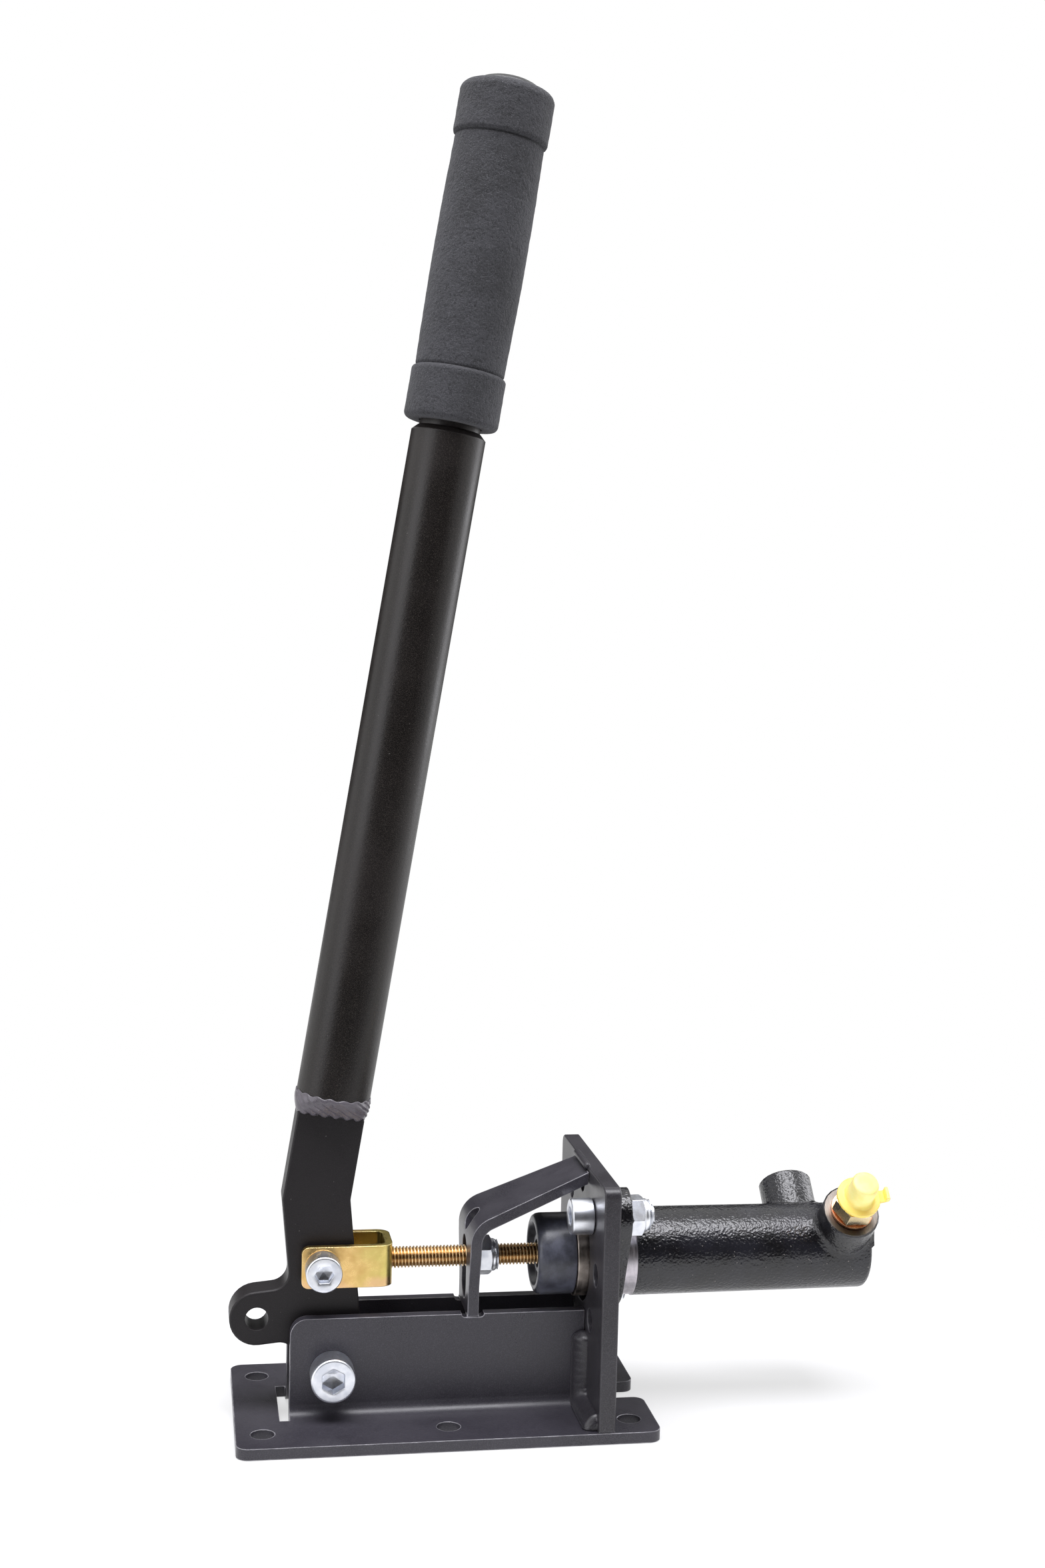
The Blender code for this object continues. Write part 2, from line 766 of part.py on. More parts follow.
def make_front_plate():
    half = BASE_WIDTH / 2
    shape = outline(
        (-half, PLATE_FOOT_Z),
        (half, PLATE_FOOT_Z),
        (half, PLATE_TOP, PLATE_CORNER_R),
        (-half, PLATE_TOP, PLATE_CORNER_R),
    )
    plate = add_part(
        "front_plate", extruded(shape, PLATE_X, PLATE_BACK_X), front(), "black_powder_coat"
    )
    ease_edges(plate, 0.0004)
    through = (PLATE_X - SHEET, PLATE_BACK_X + SHEET)
    bore = rod_of(SPIGOT_R + PLATE_BORE_PLAY, *through, ROUND)
    cut(plate, bore, axis_frame(CYLINDER_AXIS, X_AXIS))
    for i in range(PLATE_HOLE_COUNT):
        angle = FLANGE_TURN + math.tau * i / PLATE_HOLE_COUNT
        y = FLANGE_BOLT_CIRCLE_R * math.sin(angle)
        z = FLANGE_BOLT_CIRCLE_R * math.cos(angle)
        hole = rod_of(ROD_R + BOLT_PLAY, *through)
        cut(plate, hole, axis_frame(CYLINDER_AXIS + Vector((0, y, z)), X_AXIS))
    for sign in (-1, 1):
        join(plate, corner_weld(sign), Matrix.Identity(4))
    lift = TOP_BEAD_R / math.cos(BRACE_SLOPE) + SEAT
    middle = Vector((PLATE_X - TOP_BEAD_R * 0.3, 0, PLATE_TOP - BRACE_TOP_DROP + lift))
    bead = capsule(TOP_BEAD_R, 2 * (BRACE_PLATE_HALF - TOP_BEAD_R))
    join(plate, bead, axis_frame(middle, Y_AXIS, X_AXIS))


# Guide brace


def brace_stations():
    """Outer point, inner point and half width along the strip, in the XZ plane."""
    slope = Vector((math.cos(BRACE_SLOPE), math.sin(BRACE_SLOPE)))
    normal = Vector((-slope.y, slope.x))
    end_x = PLATE_X - SEAT
    top_end = Vector((end_x, PLATE_TOP - BRACE_TOP_DROP))
    corner_z = top_end.y - (end_x - BRACE_X) * math.tan(BRACE_SLOPE)
    turn = math.pi / 2 - BRACE_SLOPE
    run = BRACE_OUTER_R * math.tan(turn / 2)
    centre = Vector((BRACE_X + BRACE_OUTER_R, corner_z - run))
    foot_half = WALL_OUTER

    def upright(z, half):
        return (Vector((BRACE_X, z)), Vector((BRACE_BACK_X, z)), half)

    stations = [upright(BRACE_FOOT_Z, foot_half)]
    flare = 6
    for i in range(flare):
        share = i / flare
        eased = share * share * (3 - 2 * share)
        z = BRACE_FLARE_START + (centre.y - BRACE_FLARE_START) * share
        stations.append(upright(z, foot_half + (BRACE_BEND_HALF - foot_half) * eased))
    bend = 8
    for i in range(bend + 1):
        angle = math.pi - turn * i / bend
        ray = Vector((math.cos(angle), math.sin(angle)))
        outer = centre + ray * BRACE_OUTER_R
        inner = centre + ray * BRACE_INNER_R
        stations.append((outer, inner, BRACE_BEND_HALF))
    inner_end = top_end - normal * BRACE_SHEET
    inner_end += slope * (end_x - inner_end.x) / slope.x
    stations.append((top_end, inner_end, BRACE_PLATE_HALF))
    return stations, centre, math.pi - turn / 2


def make_guide_brace():
    stations, centre, apex = brace_stations()
    rings = []
    for outer, inner, half in stations:
        rings.append([
            (outer.x, -half, outer.y),
            (outer.x, half, outer.y),
            (inner.x, half, inner.y),
            (inner.x, -half, inner.y),
        ])
    brace = add_part("guide_brace", lofted(rings), Matrix.Identity(4), "black_powder_coat")
    slot = slot_outline(0, BRACE_SLOT_WIDTH / 2, BRACE_SLOT_BOTTOM, BRACE_SLOT_TOP)
    cut(brace, extruded(slot, BRACE_X - SHEET, BRACE_BACK_X + SHEET), front())
    ray = Vector((math.cos(apex), 0, math.sin(apex)))
    hole = rod_of(BRACE_HOLE_D / 2, BRACE_INNER_R - 0.003, BRACE_OUTER_R + 0.004)
    cut(brace, hole, axis_frame(Vector((centre.x, 0, centre.y)), ray))


# Lever


def lever_plate_outline():
    """Lower bar about the pivot, rear ear, knee and the tongue that enters the tube."""
    half = BAR_HALF
    turn = LOWER_LEAN + UPPER_LEAN
    knee = Vector((0, KNEE_ALONG))
    along = Vector((math.sin(turn), math.cos(turn)))
    right = Vector((math.cos(turn), -math.sin(turn)))
    step = half * math.tan(turn / 2)

    def upper(distance, offset, radius=0.0):
        point = knee + along * distance + right * offset
        return (point.x, point.y, radius)

    tongue = TONGUE_WIDTH / 2
    top = SHOULDER_ALONG + TONGUE_LENGTH
    return outline(
        arc((0, 0), half, math.pi, math.tau),
        (half, KNEE_ALONG - step, KNEE_R),
        upper(SHOULDER_ALONG, half),
        upper(SHOULDER_ALONG, tongue),
        upper(top, tongue, 0.002),
        upper(top, -tongue, 0.002),
        upper(SHOULDER_ALONG, -tongue),
        upper(SHOULDER_ALONG, -half),
        (-half, KNEE_ALONG + step, KNEE_R),
        (-half, EAR_ALONG + EAR_R, EAR_FILLET_R),
        arc((-EAR_REACH, EAR_ALONG), EAR_R, math.pi / 2, math.pi * 1.5),
        (-half, EAR_ALONG - EAR_R, EAR_FILLET_R),
    )


def bush_radius(thread):
    return thread / 2 + SHAFT_PLAY + BUSH_WALL


def make_lever_plate(joint):
    across = Vector((math.cos(LOWER_LEAN), 0, math.sin(LOWER_LEAN)))
    up = Vector((-math.sin(LOWER_LEAN), 0, math.cos(LOWER_LEAN)))
    half = BAR_THICKNESS / 2
    frame = frame_at(PIVOT, across, up)
    bar = extruded(lever_plate_outline(), -half, half)
    plate = add_part("lever_plate", bar, frame, "black_lever_coat", joint)
    ease_edges(plate, 0.0005)
    cross_hole(plate, PIVOT, bush_radius(PIVOT_THREAD) + SEAT, BAR_THICKNESS)
    cross_hole(plate, PIN, bush_radius(ROD_THREAD) + SEAT, BAR_THICKNESS)
    ear = PIVOT - across * EAR_REACH + up * EAR_ALONG
    cross_hole(plate, ear, EAR_HOLE_D / 2, BAR_THICKNESS)


def make_lever_weld(joint):
    """Bead that runs from the bar's flat shape to the round tube, open for the tongue."""
    low = SHOULDER_ALONG + SEAT
    high = low + WELD_LENGTH
    bar = BAR_THICKNESS / 2
    tube = TUBE_D / 2
    hole = (bar + 0.0011, TONGUE_WIDTH / 2 + 0.0013)
    rings = [squarish_ring(*hole, 6, low)]
    for share, bulge in ((0, 0.2), (0.12, 0.75), (0.35, 1), (0.65, 0.8), (0.9, 0.35), (1, 0)):
        z = low + WELD_LENGTH * share
        half_y = bar + WELD_BULGE + (tube - bar - WELD_BULGE) * min(1, share * 1.15)
        half_x = BAR_HALF + (tube - BAR_HALF) * share
        swell = WELD_BULGE * bulge
        power = 5 - 3 * min(1, share * 1.15)
        rings.append(squarish_ring(half_y + swell, half_x + swell, power, z))
    rings.append(squarish_ring(*hole, 6, high))
    bead = lofted(rings, closed=True)
    add_part("lever_weld", bead, lever_frame(), "black_lever_coat", joint)


def make_lever_tube(joint):
    outer = TUBE_D / 2
    bore = TUBE_BORE_D / 2
    profile = [
        (TUBE_START, bore),
        (TUBE_START, outer),
        (TUBE_END - TUBE_CHAMFER, outer),
        (TUBE_END, outer - TUBE_CHAMFER),
        (TUBE_END, bore),
    ]
    tube = turned(profile, ring=True)
    add_part("lever_tube", tube, lever_frame(), "black_lever_coat", joint)


def make_grip(joint):
    bore = GRIP_TUBE_R - GRIP_TUBE_WALL
    low = TUBE_END - GRIP_TUBE_INSERT
    profile = [(low, bore), (low, GRIP_TUBE_R), (GRIP_END, GRIP_TUBE_R), (GRIP_END, bore)]
    tube = turned(profile, ring=True)
    add_part("grip_tube", tube, lever_frame(), "black_lever_coat", joint)
    foam = turned(foam_profile(), ring=True)
    add_part("foam_grip", foam, lever_frame(), "grip_foam", joint)
    stem = bore - SHAFT_PLAY
    seat = GRIP_END + SEAT
    dome = [
        (seat + PLUG_HEAD_HEIGHT * math.sin(a), PLUG_HEAD_R * math.cos(a) ** 0.6)
        for a in (0.25, 0.6, 0.95, 1.25)
    ]
    plug = turned([
        (seat - PLUG_STEM_LENGTH, 0),
        (seat - PLUG_STEM_LENGTH, stem - 0.001),
        (seat - PLUG_STEM_LENGTH + 0.002, stem),
        (seat, stem),
        (seat, PLUG_HEAD_R),
        *dome,
        (seat + PLUG_HEAD_HEIGHT, 0),
    ])
    add_part("grip_end_plug", plug, lever_frame(), "black_moulding", joint)


def foam_profile():
    """Sleeve with a raised collar at each end and a seam groove beside each collar."""
    inner = GRIP_TUBE_R + SHAFT_PLAY
    collar = GRIP_R + GRIP_COLLAR_RISE
    groove = GRIP_R - GRIP_SEAM_DEPTH
    seams = (GRIP_START + GRIP_COLLAR_LENGTH, GRIP_END - GRIP_COLLAR_LENGTH)
    angles = (math.pi / 2, math.pi / 3, math.pi / 6, 0)
    drop = collar - inner - GRIP_END_LAND
    profile = [(GRIP_START, inner)]
    for a in angles:
        fall = GRIP_FOOT_ROUND * (1 - math.cos(a))
        profile.append((GRIP_START + GRIP_FOOT_ROUND * (1 - math.sin(a)), collar - fall))
    profile += [
        (seams[0] - GRIP_SEAM_HALF, collar),
        (seams[0], groove),
        (seams[0] + GRIP_SEAM_HALF, GRIP_R),
        ((seams[0] + seams[1]) / 2, GRIP_R + GRIP_CROWN),
        (seams[1] - GRIP_SEAM_HALF, GRIP_R),
        (seams[1], groove),
        (seams[1] + GRIP_SEAM_HALF, collar),
    ]
    for a in reversed(angles):
        fall = drop * (1 - math.cos(a))
        profile.append((GRIP_END - GRIP_TOP_ROUND * (1 - math.sin(a)), collar - fall))
    profile.append((GRIP_END, inner))
    return profile


def add_ring(name, centre, along, inner, outer, low, high, finish, joint=None):
    """Plain washer, bush or band about an axis."""
    band = turned([(low, inner), (low, outer), (high, outer), (high, inner)], SMALL_ROUND, ring=True)
    across = X_AXIS if abs(along.y) > 0.5 else Y_AXIS
    return add_part(name, band, axis_frame(centre, along, across), finish, joint)


def across_screw(name, centre, thread, head_d, head_height, key, half, nut_height, turn, joint=None):
    """Cap screw across the part with its head on the near side; half is the stack's half width."""
    length = 2 * (half + SEAT) + nut_height + THREAD_SHOWING
    screw = cap_screw(thread, head_d, head_height, key, length, turn)
    seat = centre - Y_AXIS * (half + SEAT)
    add_part(name, screw, axis_frame(seat, Y_AXIS, X_AXIS), "bright_zinc", joint)


def across_nut(name, centre, thread, across_flats, height, half, joint=None):
    nut = lock_nut(across_flats, height, thread / 2 + SHAFT_PLAY)
    seat = centre + Y_AXIS * (half + SEAT)
    add_part(name, nut, axis_frame(seat, Y_AXIS, X_AXIS), "bright_zinc", joint)


def make_pivot(joint):
    across_screw(
        "pivot_bolt", PIVOT, PIVOT_THREAD, PIVOT_HEAD_D, PIVOT_HEAD_HEIGHT, PIVOT_KEY,
        WALL_OUTER, PIVOT_NUT_HEIGHT, math.pi / 6,
    )
    across_nut("pivot_nut", PIVOT, PIVOT_THREAD, PIVOT_NUT_AF, PIVOT_NUT_HEIGHT, WALL_OUTER)
    inner = PIVOT_THREAD / 2 + SHAFT_PLAY
    half = BAR_THICKNESS / 2
    outer = bush_radius(PIVOT_THREAD)
    add_ring("pivot_bush", PIVOT, Y_AXIS, inner, outer, -half, half, "bronze_bush", joint)
    middle = (half + WALL_INNER) / 2
    low = middle - SPACER_THICKNESS / 2
    high = middle + SPACER_THICKNESS / 2
    for name, sign in (("pivot_spacer_near", -1), ("pivot_spacer_far", 1)):
        ends = sorted((sign * low, sign * high))
        add_ring(name, PIVOT, Y_AXIS, inner, SPACER_R, *ends, "bright_zinc")


# Clevis and rod


def clevis_outline():
    """U section seen from above, open towards the lever."""
    outer = CLEVIS_WIDTH / 2
    bend = CLEVIS_BEND_R + CLEVIS_SHEET
    return outline(
        (CLEVIS_X0, -outer),
        (CLEVIS_X1, -outer, bend),
        (CLEVIS_X1, outer, bend),
        (CLEVIS_X0, outer),
        (CLEVIS_X0, CLEVIS_INNER),
        (CLEVIS_X1 - CLEVIS_SHEET, CLEVIS_INNER, CLEVIS_BEND_R),
        (CLEVIS_X1 - CLEVIS_SHEET, -CLEVIS_INNER, CLEVIS_BEND_R),
        (CLEVIS_X0, -CLEVIS_INNER),
    )


def make_clevis(joint):
    half = CLEVIS_HEIGHT / 2
    bend = extruded(clevis_outline(), -half, half)
    clevis = add_part("clevis", bend, plan(ROD_Z), "yellow_zinc", joint)
    reach = CLEVIS_WIDTH
    out = 0.002
    for sign in (-1, 1):
        edge = ROD_Z + sign * half
        centre = (CLEVIS_X0 + CLEVIS_CORNER_R, edge - sign * CLEVIS_CORNER_R)
        corner = outline(
            (CLEVIS_X0 - out, centre[1]),
            arc(centre, CLEVIS_CORNER_R, math.pi, math.pi / 2 * (2 - sign)),
            (centre[0], edge + sign * out),
            (CLEVIS_X0 - out, edge + sign * out),
        )
        cut(clevis, extruded(corner, -reach, reach), side())
    cross_hole(clevis, PIN, ROD_R + SHAFT_PLAY, reach)
    hole = rod_of(ROD_R + SHAFT_PLAY, CLEVIS_X1 - 2 * CLEVIS_SHEET, CLEVIS_X1 + CLEVIS_SHEET)
    cut(clevis, hole, axis_frame(CYLINDER_AXIS, X_AXIS))


def make_linkage(lever_joint, joint):
    make_clevis(joint)
    half = CLEVIS_WIDTH / 2
    across_screw(
        "clevis_bolt", PIN, ROD_THREAD, CAP_HEAD_D, CAP_HEAD_HEIGHT, CAP_KEY,
        half, LOCK_NUT_HEIGHT, 0.0, joint,
    )
    across_nut("clevis_nut", PIN, ROD_THREAD, LOCK_NUT_AF, LOCK_NUT_HEIGHT, half, joint)
    inner = ROD_R + SHAFT_PLAY
    bar = BAR_THICKNESS / 2
    outer = bush_radius(ROD_THREAD)
    add_ring("clevis_bush", PIN, Y_AXIS, inner, outer, -bar, bar, "bronze_bush", lever_joint)
    tip = [
        (ROD_END_X - ROD_R * (1 - math.cos(a)), ROD_R * math.sin(a))
        for a in (math.pi / 2, math.pi / 3, math.pi / 6, 0)
    ]
    rod = turned([
        (ROD_START_X, 0),
        (ROD_START_X, ROD_R - 0.0006),
        (ROD_START_X + 0.0006, ROD_R),
        *tip,
    ], SMALL_ROUND)
    add_part("pushrod", rod, axis_frame(CYLINDER_AXIS, X_AXIS), "yellow_zinc", joint)
    nut = lock_nut(LOCK_NUT_AF, LOCK_NUT_HEIGHT, ROD_R + SHAFT_PLAY)
    seat = CYLINDER_AXIS + X_AXIS * (BRACE_BACK_X + SEAT)
    add_part("rod_stop_nut", nut, axis_frame(seat, X_AXIS, Z_AXIS), "bright_zinc", joint)


# Cylinder


def boss_profile(height, radius):
    edge = 0.0006
    rim = [(height - edge, radius), (height, radius - edge), (height, 0)]
    return [(CYLINDER_BORE_R, 0), (CYLINDER_BORE_R, radius)] + rim


def boss_fillet(boss_r, fillet_r):
    """Ring that fills the corner a ball would roll in between a round boss and the barrel.

    Local Z runs up the boss and local X along the barrel.
    """
    sunk = 0.00015
    steps = 4
    rings = []
    for i in range(SMALL_ROUND):
        around = math.tau * i / SMALL_ROUND + FACET_TURN
        out = Vector((math.cos(around), math.sin(around), 0))
        path = (boss_r + fillet_r) * out
        lift = math.sqrt((BARREL_R + fillet_r) ** 2 - path.y ** 2)
        ball = path + Z_AXIS * lift
        on_boss = boss_r * out + Z_AXIS * lift
        share = BARREL_R / (BARREL_R + fillet_r)
        on_barrel = Vector((path.x, path.y * share, lift * share))
        start = (on_boss - ball).normalized()
        end = (on_barrel - ball).normalized()
        section = [ball + start.slerp(end, k / steps) * (fillet_r + sunk) for k in range(steps + 1)]
        root = (boss_r - 4 * sunk) * out
        section.append(root + Z_AXIS * (on_barrel.z - 12 * sunk))
        section.append(root + Z_AXIS * lift)
        rings.append([tuple(point) for point in section])
    return lofted(rings, closed=True)


def make_cylinder_body():
    axis = axis_frame(CYLINDER_AXIS, X_AXIS)
    edge = [
        (BARREL_END_X - BARREL_EDGE_R * (1 - math.sin(a)), BARREL_END_R - BARREL_EDGE_R * (1 - math.cos(a)))
        for a in (0, math.pi / 6, math.pi / 3, math.pi / 2)
    ]
    barrel = turned([
        (SPIGOT_X, 0),
        (SPIGOT_X, SPIGOT_R - 0.0005),
        (SPIGOT_X + 0.0005, SPIGOT_R),
        (FLANGE_BACK_X - FLANGE_THICKNESS / 2, SPIGOT_R),
        (FLANGE_BACK_X - FLANGE_THICKNESS / 2, NECK_R),
        (BARREL_X - 0.0006, NECK_R),
        (BARREL_X, BARREL_R),
        *edge,
        (BARREL_END_X, 0),
    ], BARREL_ROUND)
    body = add_part("cylinder_body", barrel, axis, "cast_black")
    lobes = [(0, ROD_Z, FLANGE_CENTRE_R)]
    lobes += [(y, z, FLANGE_LOBE_R) for y, z in bolt_places()]
    flange = extruded(wrap_outline(lobes), FLANGE_X, FLANGE_BACK_X)
    join(body, flange, front())
    turn = Matrix.Rotation(FACET_TURN, 4, "Z")
    outlet = axis_frame(CYLINDER_AXIS + X_AXIS * OUTLET_X, OUTLET_UP, X_AXIS)
    inlet = axis_frame(CYLINDER_AXIS + X_AXIS * INLET_X, INLET_UP, X_AXIS)
    bosses = (
        (inlet, INLET_HEIGHT, INLET_BOSS_R, INLET_FILLET_R),
        (outlet, OUTLET_HEIGHT, OUTLET_BOSS_R, OUTLET_FILLET_R),
    )
    for frame, height, radius, fillet_r in bosses:
        join(body, turned(boss_profile(height, radius), SMALL_ROUND), frame @ turn)
        join(body, boss_fillet(radius, fillet_r), frame)
    faced = BARREL_END_X + BOSS_FACING
    reach = 2 * BARREL_R
    beyond = extruded(box_outline(-reach, reach, -reach, reach), faced, faced + reach)
    cut(body, beyond, axis)
    groove = (CIRCLIP_X - SEAT, CIRCLIP_X + CIRCLIP_THICKNESS + SEAT)
    bore = turned([
        (SPIGOT_X - SHEET, 0),
        (SPIGOT_X - SHEET, MOUTH_R),
        (MOUTH_END_X, MOUTH_R),
        (MOUTH_END_X, CYLINDER_BORE_R),
        (groove[0], CYLINDER_BORE_R),
        (groove[0], CIRCLIP_R + SEAT),
        (groove[1], CIRCLIP_R + SEAT),
        (groove[1], CYLINDER_BORE_R),
        (BORE_END_X, CYLINDER_BORE_R),
        (BORE_END_X, 0),
    ])
    cut(body, bore, axis)
    ports = (
        (inlet @ turn @ turn, INLET_HEIGHT, INLET_PORT_DEPTH, INLET_PORT_R),
        (outlet @ turn @ turn, OUTLET_HEIGHT, OUTLET_PORT_DEPTH, OUTLET_PORT_R),
    )
    for frame, height, depth, radius in ports:
        port = turned([
            (CYLINDER_BORE_R - 0.002, 0),
            (CYLINDER_BORE_R - 0.002, PASSAGE_R),
            (height - depth - 0.001, PASSAGE_R),
            (height - depth, radius),
            (height + 0.002, radius),
            (height + 0.002, 0),
        ], SMALL_ROUND)
        cut(body, port, frame)
    for y, z in bolt_places():
        hole = rod_of(ROD_R + BOLT_PLAY, FLANGE_X - SHEET, FLANGE_BACK_X + SHEET)
        cut(body, hole, axis_frame(Vector((0, y, z)), X_AXIS))


def make_flange_fasteners():
    grip = PLATE_THICKNESS + FLANGE_THICKNESS + 3 * SEAT
    length = grip + LOCK_NUT_HEIGHT + THREAD_SHOWING
    for end, (y, z) in zip(("near", "far"), bolt_places()):
        screw = cap_screw(ROD_THREAD, CAP_HEAD_D, CAP_HEAD_HEIGHT, CAP_KEY, length)
        frame = axis_frame(Vector((PLATE_X - SEAT, y, z)), X_AXIS)
        add_part(f"flange_bolt_{end}", screw, frame, "bright_zinc")
        nut = lock_nut(LOCK_NUT_AF, LOCK_NUT_HEIGHT, ROD_R + SHAFT_PLAY)
        frame = axis_frame(Vector((FLANGE_BACK_X + SEAT, y, z)), X_AXIS)
        add_part(f"flange_nut_{end}", nut, frame, "bright_zinc")


def make_piston(joint):
    axis = axis_frame(CYLINDER_AXIS, X_AXIS)
    rear = PISTON_X + PISTON_LAND
    groove_end = rear + SEAL_LENGTH + 2 * SEAT
    waist = groove_end + PISTON_LAND
    seat = PISTON_X + PISTON_SEAT_DEPTH
    piston = turned([
        (seat, 0),
        (seat, PISTON_SEAT_R * 0.8),
        (PISTON_X + 0.001, PISTON_SEAT_R),
        (PISTON_X, PISTON_SEAT_R),
        (PISTON_X, LAND_R - 0.0005),
        (PISTON_X + 0.0005, LAND_R),
        (rear, LAND_R),
        (rear, SEAL_GROOVE_R),
        (groove_end, SEAL_GROOVE_R),
        (groove_end, LAND_R),
        (waist, LAND_R),
        (waist + 0.001, PISTON_WAIST_R),
        (PISTON_FACE_X - PISTON_LAND - 0.001, PISTON_WAIST_R),
        (PISTON_FACE_X - PISTON_LAND, LAND_R),
        (PISTON_FACE_X, LAND_R),
        (PISTON_FACE_X, PISTON_NOSE_R),
        (NOSE_END_X, PISTON_NOSE_R),
        (NOSE_END_X, 0),
    ], SMALL_ROUND)
    add_part("piston", piston, axis, "turned_aluminium", joint)
    inner = SEAL_GROOVE_R + SEAT
    secondary = turned([
        (rear + SEAT, inner),
        (rear + SEAT, LAND_R - 0.0004),
        (rear + SEAT + SEAL_LENGTH, LAND_R),
        (rear + SEAT + SEAL_LENGTH, LAND_R - 0.0009),
        (rear + SEAT + SEAL_LENGTH * 0.5, inner + 0.0008),
        (rear + SEAT + SEAL_LENGTH, inner + 0.0003),
        (rear + SEAT + SEAL_LENGTH, inner),
    ], SMALL_ROUND, ring=True)
    add_part("secondary_seal", secondary, axis, "black_rubber", joint)
    start = PISTON_FACE_X + SEAT
    inner = PISTON_NOSE_R + SEAT
    primary = turned([
        (start, inner),
        (start, LAND_R - 0.0006),
        (SEAL_FACE_X, LAND_R),
        (SEAL_FACE_X, LAND_R - 0.0009),
        (start + SEAL_LENGTH * 0.5, LAND_R - 0.0016),
        (start + SEAL_LENGTH * 0.5, inner + 0.0010),
        (SEAL_FACE_X - 0.0010, inner),
    ], SMALL_ROUND, ring=True)
    add_part("primary_seal", primary, axis, "black_rubber", joint)


def make_return_spring():
    """Compression spring between the primary seal and the end of the bore."""
    start = SEAL_FACE_X + SEAT + SPRING_WIRE_R
    length = BORE_END_X - SEAT - SPRING_WIRE_R - start
    wire = bpy.data.curves.new("return_spring", "CURVE")
    wire.dimensions = "3D"
    wire.bevel_depth = SPRING_WIRE_R
    wire.bevel_resolution = 1
    wire.use_fill_caps = True
    count = int(SPRING_TURNS * 14)
    spline = wire.splines.new("POLY")
    spline.points.add(count)
    for i, point in enumerate(spline.points):
        share = i / count
        angle = math.tau * SPRING_TURNS * share
        x = start + length * share
        y = SPRING_R * math.cos(angle)
        z = ROD_Z + SPRING_R * math.sin(angle)
        point.co = (x, y, z, 1)
    spring = bpy.data.objects.new("return_spring", wire)
    bpy.context.scene.collection.objects.link(spring)
    wire.materials.append(look("spring_steel"))


def make_mouth_parts():
    """Stop washer and circlip that hold the piston in."""
    axis = axis_frame(CYLINDER_AXIS, X_AXIS)
    ends = (STOP_WASHER_X, STOP_WASHER_X + STOP_WASHER_THICKNESS)
    add_ring(
        "stop_washer", CYLINDER_AXIS, X_AXIS, STOP_WASHER_HOLE_R, LAND_R, *ends, "bright_zinc"
    )
    start = -math.pi / 2 + CIRCLIP_OPENING / 2
    sweep = math.tau - CIRCLIP_OPENING
    shape = arc((0, 0), CIRCLIP_R, start, start + sweep)
    shape += arc((0, 0), CIRCLIP_R - CIRCLIP_BAND, start + sweep, start)
    clip = extruded(shape, CIRCLIP_X, CIRCLIP_X + CIRCLIP_THICKNESS)
    add_part("retaining_circlip", clip, axis, "spring_steel")


def make_boot():
    """Rubber cup with a rolled lip, a sunk face and a plug that enters the cylinder's mouth."""
    end = SPIGOT_X - SEAT
    plug = MOUTH_R - SEAT
    hole = ROD_R + BOOT_ROD_PLAY
    face = BOOT_X + BOOT_LIP
    sleeve = hole + BOOT_WALL
    inner = BOOT_R - BOOT_WALL * 1.4
    shoulder = [
        (
            BOOT_X + BOOT_SHOULDER * (1 - math.sin(a)),
            BOOT_R - (BOOT_R - BOOT_FACE_R) * (1 - math.cos(a)),
        )
        for a in (math.pi / 2, math.pi / 3, math.pi / 6, 0)
    ]
    boot = turned([
        *shoulder,
        (end, BOOT_R),
        (end, plug),
        (MOUTH_END_X - SEAT, plug),
        (MOUTH_END_X - SEAT, plug - BOOT_WALL),
        (end, plug - BOOT_WALL),
        (end - 0.002, inner),
        (face + BOOT_WALL, inner),
        (face + BOOT_WALL, sleeve),
        (face + BOOT_SLEEVE_LENGTH, sleeve - 0.0005),
        (face + BOOT_SLEEVE_LENGTH, hole),
        (face - 0.001, hole),
        (face - 0.001, sleeve - 0.0006),
        (face, sleeve + 0.0006),
        (face, BOOT_FACE_R - 0.0026),
        (face - 0.0008, BOOT_FACE_R - 0.0021),
        (BOOT_X + 0.0005, BOOT_FACE_R - 0.0017),
        (BOOT_X, BOOT_FACE_R - 0.0011),
    ], ring=True)
    add_part("dust_boot", boot, axis_frame(CYLINDER_AXIS, X_AXIS), "black_rubber")


